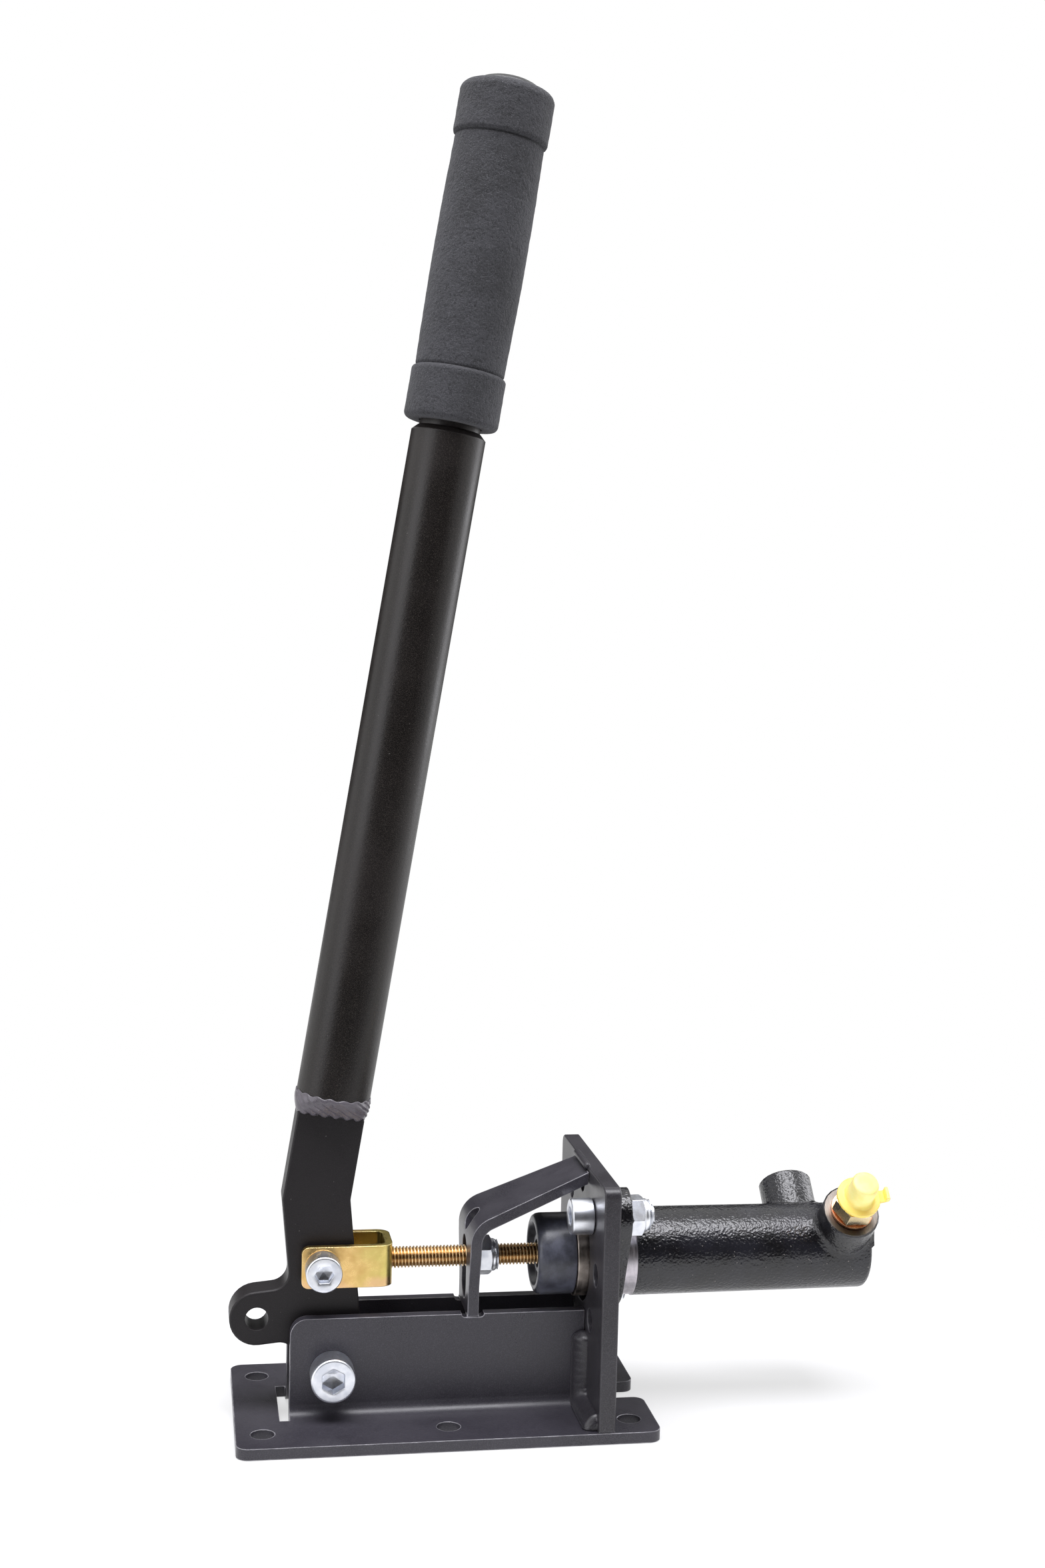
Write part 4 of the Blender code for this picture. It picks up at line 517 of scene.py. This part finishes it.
def carried(mesh, name):
    """A passing object that holds a mesh while a modifier works on it."""
    carrier = bpy.data.objects.new(name + "_work", mesh)
    SCENE.collection.objects.link(carrier)
    return carrier


def taken_off(carrier, name):
    """The carrier's modified mesh, made plain. The carrier goes."""
    bpy.context.view_layer.update()
    depsgraph = bpy.context.evaluated_depsgraph_get()
    plain = bpy.data.meshes.new_from_object(carrier.evaluated_get(depsgraph), depsgraph=depsgraph)
    plain.name = name
    used = carrier.data
    bpy.data.objects.remove(carrier)
    bpy.data.meshes.remove(used)
    return plain


def merged(node):
    """A CAD node's own shape as one joined mesh, with its flat faces whole."""
    work = bmesh.new()
    work.from_mesh(frame["nodes"][node].data)
    bmesh.ops.remove_doubles(work, verts=work.verts, dist=SAME_SPOT)
    bmesh.ops.dissolve_limit(work, angle_limit=math.radians(0.3), verts=work.verts, edges=work.edges)
    return work


def settled(work, name, sharp=35):
    """Shades a mesh smooth up to its sharp edges, in degrees, and keeps big flats flat."""
    mesh = meshed(work, name)
    mesh.shade_smooth()
    mesh.set_sharp_from_angle(angle=math.radians(sharp))
    carrier = carried(mesh, name)
    carrier.modifiers.new("flats", "WEIGHTED_NORMAL").keep_sharp = True
    return taken_off(carrier, name)


def skin(node):
    """A smooth-shaded copy of a CAD node that stands for it."""
    piece(node + "_skin", settled(merged(node), node + "_skin", 32), node, [node])


# ---------------------------------------------------------------- Geometry Nodes jigs
class Jig(Bench):
    """A Geometry Nodes tree with named sizes."""

    def __init__(self, name, sizes, takes_mesh=False):
        super().__init__(bpy.data.node_groups.new(name, "GeometryNodeTree"))
        face = self.tree.interface
        face.new_socket("Geometry", in_out="OUTPUT", socket_type="NodeSocketGeometry")
        if takes_mesh:
            face.new_socket("Geometry", in_out="INPUT", socket_type="NodeSocketGeometry")
        for size, value in sizes.items():
            kind = "NodeSocketInt" if isinstance(value, int) else "NodeSocketFloat"
            face.new_socket(size, in_out="INPUT", socket_type=kind).default_value = value
        face.new_socket("Finish", in_out="INPUT", socket_type="NodeSocketMaterial")
        self.given = self.add("NodeGroupInput").outputs
        self.result = self.add("NodeGroupOutput")

    def close(self, geometry):
        """Ends the tree: real geometry, smooth shading, its finish."""
        real = self.add("GeometryNodeRealizeInstances", {0: geometry}).outputs[0]
        smooth = self.add("GeometryNodeSetShadeSmooth", {0: real}).outputs[0]
        coated = self.add("GeometryNodeSetMaterial", {"Geometry": smooth, "Material": self.given["Finish"]})
        self.feed(self.result.inputs[0], coated.outputs[0])
        return self.tree

    def read(self, name):
        """A number that the given mesh carries at each point."""
        return self.add("GeometryNodeInputNamedAttribute", {"Name": name}, data_type="FLOAT").outputs["Attribute"]

    def moved(self, mesh, **where):
        return self.add("GeometryNodeSetPosition", {"Geometry": mesh, **where}).outputs[0]

    def grid(self, columns, rows):
        """A flat sheet, and its own 0-1 column share and whole row number as fields."""
        sheet = self.add("GeometryNodeMeshGrid", {"Size X": 1.0, "Size Y": 1.0, "Vertices X": columns,
                                                  "Vertices Y": rows})
        spot = self.add("ShaderNodeSeparateXYZ", {0: self.add("GeometryNodeInputPosition").outputs[0]}).outputs
        around, share = self.plus(spot[0], 0.5), self.plus(spot[1], 0.5)
        return sheet.outputs["Mesh"], around, self.maths("ROUND", self.times(share, self.minus(rows, 1.0)))

    def wrapped(self, sheet, around, radius, height):
        """The sheet bent round the Z axis to a radius and a height for each point, and its seams closed."""
        angle = self.times(around, math.tau)
        x, y = (self.times(self.maths(wave, angle), radius) for wave in ("COSINE", "SINE"))
        spot = self.add("ShaderNodeCombineXYZ", {0: x, 1: y, 2: height}).outputs[0]
        bent = self.moved(sheet, Position=spot)
        return self.add("GeometryNodeMergeByDistance", {"Geometry": bent, "Distance": SAME_SPOT}).outputs[0]


def run_jig(tree, name, sizes, matrix=None, base=None):
    """Runs a jig with its sizes set and returns the plain mesh in place."""
    carrier = carried(base or bpy.data.meshes.new(name + "_work"), name)
    modifier = carrier.modifiers.new("jig", "NODES")
    modifier.node_group = tree
    values = {"Finish": FINISHES["bright_zinc"], **sizes}
    for item in tree.interface.items_tree:
        if item.item_type == "SOCKET" and item.in_out == "INPUT" and item.name in values:
            modifier[item.identifier] = values[item.name]
    mesh = taken_off(carrier, name)
    work = bmesh.new()
    work.from_mesh(mesh)
    bmesh.ops.dissolve_degenerate(work, dist=TINY, edges=work.edges)
    bmesh.ops.recalc_face_normals(work, faces=work.faces)
    work.to_mesh(mesh)
    work.free()
    if matrix:
        mesh.transform(matrix)
    return mesh


def thread_jig():
    """A screw thread: rows of points follow the helix, and both ends close on the axis."""
    j = Jig("thread", {"Length": 0.02, "Radius": 0.004, "Pitch": 0.00125, "Depth": 0.0007, "Columns": 33,
                       "Rows a turn": 8})
    g = j.given
    spare_turns, lead_in, crest_width = 2.5, 1.25, 1.25
    turns = j.over(g["Length"], g["Pitch"])
    rows = j.maths("CEIL", j.times(j.plus(turns, spare_turns), g["Rows a turn"]))
    sheet, around, row = j.grid(g["Columns"], rows)
    row_turns = j.over(row, g["Rows a turn"])
    raw = j.times(j.plus(row_turns, j.minus(around, lead_in)), g["Pitch"])
    height = j.least(j.most(raw, 0.0), g["Length"])
    wave = j.maths("COSINE", j.times(row_turns, math.tau))
    flattened = j.least(j.most(j.times(wave, crest_width), -1.0), 1.0)
    cut = j.times(j.times(j.minus(1.0, flattened), 0.5), g["Depth"])
    from_end = j.least(height, j.minus(g["Length"], height))
    chamfer = j.plus(j.minus(g["Radius"], g["Depth"]), from_end)
    radius = j.least(j.minus(g["Radius"], cut), chamfer)
    inside = j.times(j.maths("GREATER_THAN", raw, TINY), j.maths("LESS_THAN", raw, j.minus(g["Length"], TINY)))
    return j.close(j.wrapped(sheet, around, j.times(radius, inside), height))


def ripple_jig():
    """Weld ripples: crescents along the bead, each lying over the one before it."""
    j = Jig("weld_ripples", {"Pitch": 0.0022, "Depth": 0.0003, "Bow": 0.5, "Wander": 0.5}, takes_mesh=True)
    g = j.given
    tail_shape, step_share = 1.7, 0.16
    across = j.read("across")
    wander = j.add("ShaderNodeTexNoise", {"Scale": 260.0, "Detail": 2.0}).outputs["Fac"]
    bow = j.times(j.times(across, across), g["Bow"])
    phase = j.plus(j.over(j.read("along"), g["Pitch"]), bow)
    phase = j.maths("FRACT", j.plus(phase, j.times(wander, g["Wander"])))
    crescent = j.times(j.minus(1.0, j.maths("POWER", phase, tail_shape)), j.span(phase, 0.0, step_share))
    lift = j.times(crescent, j.times(j.read("lift"), g["Depth"]))
    normal = j.add("GeometryNodeInputNormal").outputs[0]
    shift = j.add("ShaderNodeVectorMath", {0: normal, "Scale": lift}, operation="SCALE").outputs[0]
    return j.close(j.moved(g["Geometry"], Offset=shift))


THREAD = thread_jig()
RIPPLES = ripple_jig()


def threaded(name, matrix, length, radius, pitch):
    sizes = {"Length": length, "Radius": radius, "Pitch": pitch, "Depth": pitch * 0.56}
    return run_jig(THREAD, name, sizes, matrix)


def rippled(name, work, like, stands_for=(), finish="weld_coat", **sizes):
    made = run_jig(RIPPLES, name, sizes, base=meshed(work, name + "_plain"))
    piece(name, made, like, stands_for, finish)


# ---------------------------------------------------------------- rings and skins over them
ROUND = 72


def lofted(rings, closed=False, numbers=None):
    """A skin over rings of equal count, capped or joined into a loop, with numbers carried at each point."""
    work = bmesh.new()
    layers = {name: work.verts.layers.float.new(name) for name in (numbers or {})}
    rows = []
    for r, ring in enumerate(rings):
        row = []
        for k, spot in enumerate(ring):
            vert = work.verts.new(spot)
            for name, layer in layers.items():
                vert[layer] = numbers[name][r][k]
            row.append(vert)
        rows.append(row)
    pairs = list(zip(rows, rows[1:])) + ([(rows[-1], rows[0])] if closed else [])
    count = len(rows[0])
    for low, high in pairs:
        for k in range(count):
            work.faces.new((low[k], low[(k + 1) % count], high[(k + 1) % count], high[k]))
    if not closed:
        work.faces.new(rows[0])
        work.faces.new(rows[-1])
    bmesh.ops.recalc_face_normals(work, faces=work.faces)
    return work


def round_ring(radius, height, count=ROUND):
    turns = (math.tau * k / count for k in range(count))
    return [Vector((radius * math.cos(turn), radius * math.sin(turn), height)) for turn in turns]


def hex_ring(across, height, turn=0.0, chamfer=None, down=1):
    """A hexagon's ring; beyond a chamfer radius its corners fall away as on a turned cone."""
    cone_slope, sixth = 0.58, math.tau / 6
    out = []
    for k in range(ROUND):
        angle = math.tau * k / ROUND
        radius = across / 2 / math.cos((angle - turn) % sixth - sixth / 2)
        fall = max(0.0, radius - chamfer) * cone_slope * down if chamfer else 0.0
        out.append(Vector((radius * math.cos(angle), radius * math.sin(angle), height - fall)))
    return out


def rim(radius, height, edge, up=1, steps=5):
    """Rings of a rounded rim: from the side wall to the flat face, or the other way up."""
    angles = (QUARTER * k / steps for k in range(steps + 1))
    return [round_ring(radius - edge * (1 - math.cos(a)), height - edge * (1 - math.sin(a)) * up)
            for a in angles]


def flipped(rings):
    return [[Vector((spot.x, spot.y, -spot.z)) for spot in ring] for ring in rings]


# ---------------------------------------------------------------- screws, nuts and the rod
def make_screw(node, matrix, length, turn, thread, head, tall, key, cut, pitch):
    """A socket screw with a smooth rounded head, a chamfered socket and a cut thread at its end."""
    shank, end = thread / 2, length - cut + 0.0004
    corner = key / math.sqrt(3)
    socket_floor = -tall + tall * 0.5
    rings = [round_ring(shank - 0.0009, end), round_ring(shank - 0.0001, end - 0.0005), round_ring(shank, 0.0)]
    rings += flipped(reversed(rim(head / 2, 0.0, 0.0003, -1)))
    rings += flipped(rim(head / 2, tall, head * 0.055))
    rings += [round_ring(corner + 0.0012, -tall), round_ring(corner + 0.0002, -tall),
              hex_ring(key, -tall + 0.00022, turn, corner - 0.0002), hex_ring(key, socket_floor, turn),
              round_ring(key * 0.1, socket_floor + key * 0.2)]
    work = lofted(rings)
    work.transform(matrix)
    piece(node + "_body", settled(work, node + "_body"), node, [node])
    at_end = matrix @ Matrix.Translation((0, 0, length - cut))
    piece(node + "_thread", threaded(node + "_thread", at_end, cut, shank, pitch), node)


def make_nut(node, matrix, thread, across, tall):
    """A lock nut: turned corners on its hexagon, and a rolled collar round the insert."""
    bore, flat = thread / 2 + 0.0003, across / 2
    shoulder, collar = tall * 0.68, flat - across * 0.045
    rings = [round_ring(bore + 0.0005, 0.0), round_ring(flat - 0.0003, 0.0),
             hex_ring(across, 0.00015, 0.0, flat, -1), hex_ring(across, shoulder - 0.0001, 0.0, flat),
             round_ring(flat - 0.0003, shoulder), round_ring(collar + 0.0003, shoulder + 0.0001),
             round_ring(collar, shoulder + 0.0004)]
    rings += rim(collar, tall, tall - shoulder - 0.0006, 1, 7)[1:6]
    rings += [round_ring(bore + 0.0012, tall - 0.0001), round_ring(bore + 0.0009, tall - 0.0004),
              round_ring(bore, tall - 0.0008), round_ring(bore, 0.0005)]
    work = lofted(rings, closed=True)
    work.transform(matrix)
    piece(node + "_body", settled(work, node + "_body"), node, [node])


def make_fasteners():
    stand_off = 0.0003
    forward, inward = (1, 0, 0), (0, 1, 0)
    for name, centre, out, length, turn, screw, nut in (
            ("pivot", PIVOT, WALL_OUT, 0.0351, math.pi / 6, M10, M10_NUT),
            ("clevis", PIN, CLEVIS_OUT, 0.0303, 0.0, M8, M8_NUT)):
        near, far = (placed(centre + Vector((0, y, 0)), inward, forward) for y in (-out, out))
        make_screw(name + "_bolt", near, length, turn, **screw)
        make_nut(name + "_nut", far, **nut)
    make_nut("rod_stop_nut", placed((BRACE_FRONT + stand_off, 0, ROD_Z), forward, (0, 0, 1)), **M8_NUT)
    for end, side in (("near", -1), ("far", 1)):
        y, z = side * BOLT_OUT, ROD_Z - side * BOLT_OUT
        make_screw("flange_bolt_" + end, placed((PLATE_REAR - stand_off, y, z), forward), 0.0226, 0.0, **M8)
        make_nut("flange_nut_" + end, placed((FLANGE_FRONT + stand_off, y, z), forward), **M8_NUT)


def make_pushrod():
    rear, front, crest = 0.04291, 0.13150, 0.00392
    mesh = threaded("pushrod_threaded", placed((rear, 0, ROD_Z), (1, 0, 0)), front - rear, crest, M8["pitch"])
    piece("pushrod_threaded", mesh, "pushrod", ["pushrod"])


# ---------------------------------------------------------------- weld beads
def even_loop(half_x, half_y, power, height, count):
    """A rounded rectangle's points at even steps along it; power 2 is an ellipse."""
    steps = 1440
    fine = []
    for k in range(steps + 1):
        c, s = math.cos(math.tau * k / steps), math.sin(math.tau * k / steps)
        fine.append(Vector((half_x * math.copysign(abs(c) ** (2 / power), c),
                            half_y * math.copysign(abs(s) ** (2 / power), s), height)))
    gone = [0.0]
    for a, b in zip(fine, fine[1:]):
        gone.append(gone[-1] + (b - a).length)
    ring, at = [], 0
    for k in range(count):
        goal = gone[-1] * k / count
        while gone[at + 1] < goal:
            at += 1
        ring.append(fine[at].lerp(fine[at + 1], (goal - gone[at]) / max(1e-12, gone[at + 1] - gone[at])))
    return ring


def make_lever_weld():
    """The bead between the flat bar and the round tube: crescents all round, open for the bar's tongue."""
    low, high = 0.0310, TUBE_FOOT
    thick, wide, tube = 0.0061, 0.0121, 0.0135
    tongue = (0.0071, 0.0103, 6)
    columns, rows = 260, 26
    slant, wave, waves = 0.0016, 0.0003, 17
    rings = []
    numbers = {"along": [], "across": [], "lift": []}

    def carry(ring, middle, weight):
        """Adds a ring that lies from -1, the bar's side, to 1, the tube's, with its place along the bead."""
        turn = 0.0
        row = []
        for k, spot in enumerate(ring):
            row.append(turn)
            turn += (ring[(k + 1) % columns] - spot).length
        if weight:
            for k, spot in enumerate(ring):
                spot.z += wave * math.sin(math.tau * waves * row[k] / turn + middle) * abs(middle) ** 3
        rings.append([LEVER @ spot for spot in ring])
        numbers["along"].append([value + middle * slant for value in row])
        numbers["across"].append([middle] * columns)
        numbers["lift"].append([weight] * columns)

    carry(even_loop(*tongue, low + 0.0002, columns), -1.0, 0.0)
    for k in range(rows + 1):
        share = k / rows
        swell = math.sin(math.pi * share) ** 0.7
        blend = min(1.0, share * 1.15)
        ring = even_loop(thick + (tube - thick) * blend + 0.0002 * swell,
                         wide + (tube - wide) * share + 0.00015 * swell, 5 - 3 * blend,
                         low - 0.0006 + (high + 0.0009 - low) * share, columns)
        carry(ring, share * 2 - 1, 0.25 + 0.75 * swell)
    carry(even_loop(*tongue, high - 0.0002, columns), 1.0, 0.0)
    rippled("lever_weld_bead", lofted(rings, True, numbers), "lever_weld", ["lever_weld"],
            Pitch=0.0040, Depth=0.0006, Bow=0.6, Wander=0.8)


def corner_path():
    """Root, toe and leg share of the frame's weld as (y, z): down the wall, round the fold, out along the base."""
    floor, leg, edge, top, step = 0.0043, 0.0052, 0.0375, 0.0317, 0.0003
    fold, corner = Vector((0.0155, 0.008)), Vector((WALL_OUT + leg + 0.002, floor + leg + 0.002))
    stations = []

    def fade(distance):
        """The bead's share near one of its ends, where it tapers."""
        return min(1.0, 0.42 + 0.58 * math.sin(min(1.0, distance / 0.0026) * QUARTER))

    z = top
    while z > 0.0112:
        share = fade(top - z)
        stations.append((Vector((WALL_OUT, z)), Vector((WALL_OUT + leg * share, z)), share))
        z -= step
    for k in range(13):
        angle = math.pi + QUARTER * k / 12
        ray = Vector((math.cos(angle), math.sin(angle)))
        stations.append((fold + ray * 0.0037, corner + ray * 0.002, 1.0))
    y = 0.0193
    while y < edge:
        share = fade(edge - y)
        stations.append((Vector((y, floor)), Vector((y, floor + leg * share)), share))
        y += step
    return stations


def make_corner_weld(side, name):
    """The fillet bead where a folded wall and its flange meet the front plate."""
    plate_leg, sunk, steps = 0.00475, 0.0012, 10
    rings = []
    numbers = {"along": [], "across": [], "lift": []}
    shares = [k / steps for k in range(steps + 1)]
    travelled, before = 0.0, None
    for root, toe, share in corner_path():
        middle = (root + toe) / 2
        travelled += (middle - before).length if before else 0.0
        before = middle
        reach, leg = toe - root, plate_leg * share
        face = [(1.0, -sunk), *((math.cos(QUARTER * s) ** 1.25, math.sin(QUARTER * s) ** 1.25 * leg)
                                for s in shares), (0.0, -sunk)]
        rings.append([Vector((PLATE_REAR - out, side * (root.x + reach.x * part), root.y + reach.y * part))
                      for part, out in face])
        numbers["along"].append([travelled] * len(face))
        numbers["across"].append([-1.0, *(2 * s - 1 for s in shares), 1.0])
        numbers["lift"].append([0.0, *(math.sin(math.pi * (0.12 + 0.76 * s)) for s in shares), 0.0])
    # The bead takes the plate's darker coat, a painted shade.
    rippled(name, lofted(rings, False, numbers), "front_plate", (), "plate_coat",
            Pitch=0.0030, Depth=0.00009, Bow=0.5, Wander=1.0)


# ---------------------------------------------------------------- grip and joint fills
def foam_profile(start, end, inner):
    """The sleeve's outside as (distance, radius): a low collar at each end, with a groove beside it."""
    body, rise, foot_round, top_round, steps = 0.0162, 0.0007, 0.002, 0.0034, 8
    collar_length, groove_depth, groove_width, hollow, swell = 0.0185, 0.0005, 0.00055, 0.0003, 0.0006
    first, last = start + collar_length, end - collar_length
    profile = []
    for k in range(steps + 1):
        a = QUARTER * (1 - k / steps)
        profile.append((start + foot_round * (1 - math.sin(a)), body + rise - foot_round * (1 - math.cos(a))))
    place = start + foot_round
    while place < end - top_round:
        place += 0.0006
        near = min(abs(place - first), abs(place - last))
        groove = groove_depth * math.exp(-(near / groove_width) ** 2)
        if first <= place <= last:
            raised = swell * math.sin(math.pi * (place - first) / (last - first)) - hollow
        else:
            raised = rise
        profile.append((place, body + raised - groove))
    for k in range(1, steps + 1):
        a = QUARTER * k / steps
        profile.append((end - top_round * (1 - math.sin(a)), body + rise - top_round * (1 - math.cos(a))))
    profile.append((end - 0.0001, inner + 0.0008))
    return profile


def make_foam():
    """The grip's sleeve, with its outside a little lumpy."""
    start = TUBE_FOOT + TUBE_LENGTH + 0.0018
    end = start + 0.119
    inner, count = 0.0113, 180
    lump_size, lump_depth = 0.0030, 0.00010
    rings = [round_ring(inner, start, count)]
    for distance, radius in foam_profile(start, end, inner):
        ring = round_ring(radius, distance, count)
        for k, spot in enumerate(ring):
            turn = math.tau * k / count
            lump = noise.fractal(spot / lump_size, 0.9, 2.0, 3) * lump_depth
            spot += Vector((math.cos(turn), math.sin(turn), 0)) * lump
        rings.append(ring)
    rings.append(round_ring(inner, end, count))
    work = lofted(rings, True)
    work.transform(LEVER)
    made = piece("foam_sleeve", settled(work, "foam_sleeve", 60), "foam_grip", ["foam_grip"])


def make_foot(name, like, rear, front, inner, outer, low, high):
    """A small block of coated fill where an upright meets the folded sheet."""
    corners = ((rear, inner), (front, inner), (front, outer), (rear, outer))
    work = lofted([[Vector((x, y, z)) for x, y in corners] for z in (low, high)])
    piece(name, settled(work, name, 30), like)


def make_feet():
    inset = 0.00006
    for side, name in ((-1, "near"), (1, "far")):
        y0, y1 = sorted((side * 0.0078, side * (0.040 - inset)))
        make_foot("plate_foot_" + name, "front_plate", PLATE_REAR + inset, PLATE_FRONT - inset, y0, y1,
                  0.0039, 0.0046)
        y0, y1 = sorted((side * 0.0076, side * (0.0115 - inset)))
        make_foot("brace_foot_" + name, "guide_brace", 0.0751, 0.0795, y0, y1, 0.0375, 0.0384)


for node_name in PIECES:
    if node_name not in BUILT_ANEW:
        skin(node_name)
make_pushrod()
make_fasteners()
make_lever_weld()
make_corner_weld(-1, "corner_weld_near")
make_corner_weld(1, "corner_weld_far")
make_foam()
make_feet()


# ---------------------------------------------------------------- camera
def put_camera():
    """The photograph's viewpoint, fitted to the plate corners, the bolts and the lever's ends."""
    yaw, pitch, roll = math.radians(-9.772), math.radians(4.370), math.radians(1.419)
    view = Vector((-math.sin(yaw) * math.cos(pitch), math.cos(yaw) * math.cos(pitch), -math.sin(pitch)))
    right = Vector((math.cos(yaw), math.sin(yaw), 0))
    down = view.cross(right)
    across = math.cos(roll) * right - math.sin(roll) * down
    below = math.sin(roll) * right + math.cos(roll) * down
    lens = bpy.data.cameras.new("photo_camera")
    lens.lens = 45.90
    lens.sensor_width = 36.0
    lens.clip_start = 0.01
    lens.clip_end = 60.0
    camera = bpy.data.objects.new("photo_camera", lens)
    turn = Matrix((across, -below, -view)).transposed().to_4x4()
    camera.matrix_world = Matrix.Translation((-0.02979, -0.71076, 0.28588)) @ turn
    SCENE.collection.objects.link(camera)
    SCENE.camera = camera


# ---------------------------------------------------------------- studio
def put_room():
    """A white room that is bright to look at and in mirrors, and lights the part more softly."""
    soft_light = 0.38
    world = bpy.data.worlds.new("white_room")
    SCENE.world = world
    world.use_nodes = True
    b = Bench(world.node_tree)
    background = world.node_tree.nodes["Background"]
    background.inputs["Color"].default_value = (1, 1, 1, 1)
    b.feed(background.inputs["Strength"], b.plus(b.times(b.seen_rays(), 1 - soft_light), soft_light))


def stage_piece(name, mesh, material_name):
    """A studio object with a new material; gives the object, the material's bench and its main shader."""
    made = bpy.data.objects.new(name, mesh)
    SCENE.collection.objects.link(made)
    material = bpy.data.materials.new(material_name)
    material.use_nodes = True
    mesh.materials.append(material)
    return made, Bench(material.node_tree), material.node_tree.nodes["Principled BSDF"].inputs


def put_floor():
    """Pale matt paper that keeps the shadow near the part and fades into the white room further out."""
    work = bmesh.new()
    bmesh.ops.create_circle(work, cap_ends=True, segments=96, radius=6.0)
    floor, p, matt = stage_piece("studio_floor", meshed(work, "studio_floor"), "pale_paper")
    floor.location = (0.1, 0, -0.0002)
    matt["Base Color"].default_value = (0.93, 0.93, 0.935, 1)
    matt["Roughness"].default_value = 0.9
    matt["Specular IOR Level"].default_value = 0.1
    near_glow, fade_from, fade_to = 0.6, 0.10, 0.34
    place = p.add("ShaderNodeTexCoord").outputs["Object"]
    far = p.span(p.vector("LENGTH", place), fade_from, fade_to, near_glow, 1.0)
    glow = p.add("ShaderNodeEmission", {"Color": (1, 1, 1, 1), "Strength": 1.0})
    paper = p.tree.nodes["Principled BSDF"]
    blend = p.add("ShaderNodeMixShader", {0: p.times(far, p.seen_rays()), 1: paper.outputs[0], 2: glow.outputs[0]})
    p.feed(p.tree.nodes["Material Output"].inputs["Surface"], blend.outputs[0])


def put_dark_card():
    """Black cloth that only mirrors see: on the floor and upright in front of the part, and low behind it."""
    half_width = 2.2
    work = bmesh.new()
    near, bend, top, foot, head = ([work.verts.new((x, y, z)) for x in (-half_width, half_width)]
                                   for y, z in ((-0.30, 0.001), (-1.9, 0.001), (-1.9, 2.4), (1.9, 0.03), (1.9, 1.1)))
    for low, high in ((near, bend), (bend, top), (foot, head)):
        work.faces.new((low[0], low[1], high[1], high[0]))
    card, _, cloth = stage_piece("dark_card", meshed(work, "dark_card"), "black_cloth")
    cloth["Base Color"].default_value = (0.02, 0.018, 0.017, 1)
    cloth["Roughness"].default_value = 0.95
    card.visible_camera = False
    card.visible_diffuse = False
    card.visible_shadow = False
    card.visible_transmission = False


def put_lamp(name, place, aim, size, watts):
    data = bpy.data.lights.new(name, "AREA")
    data.shape = "RECTANGLE"
    data.size, data.size_y = size
    data.energy = watts
    data.color = (0.95, 0.95, 1.0)
    lamp = bpy.data.objects.new(name, data)
    turn = (Vector(aim) - Vector(place)).to_track_quat("-Z", "Y")
    lamp.matrix_world = Matrix.Translation(place) @ turn.to_matrix().to_4x4()
    SCENE.collection.objects.link(lamp)


def put_lamps():
    """A wide softbox nearly overhead, and a weak strip on each side."""
    put_lamp("softbox_top", (0.05, -0.20, 1.10), (0.10, 0, 0.06), (1.1, 0.50), 17.0)
    put_lamp("strip_left", (-0.85, -0.45, 0.45), (0.03, 0, 0.22), (0.6, 0.9), 2.4)
    put_lamp("strip_right", (0.85, 0.30, 0.45), (0.06, 0, 0.22), (0.3, 0.9), 2.6)


put_camera()
put_room()
put_floor()
put_dark_card()
put_lamps()
SCENE.view_settings.view_transform = "Standard"
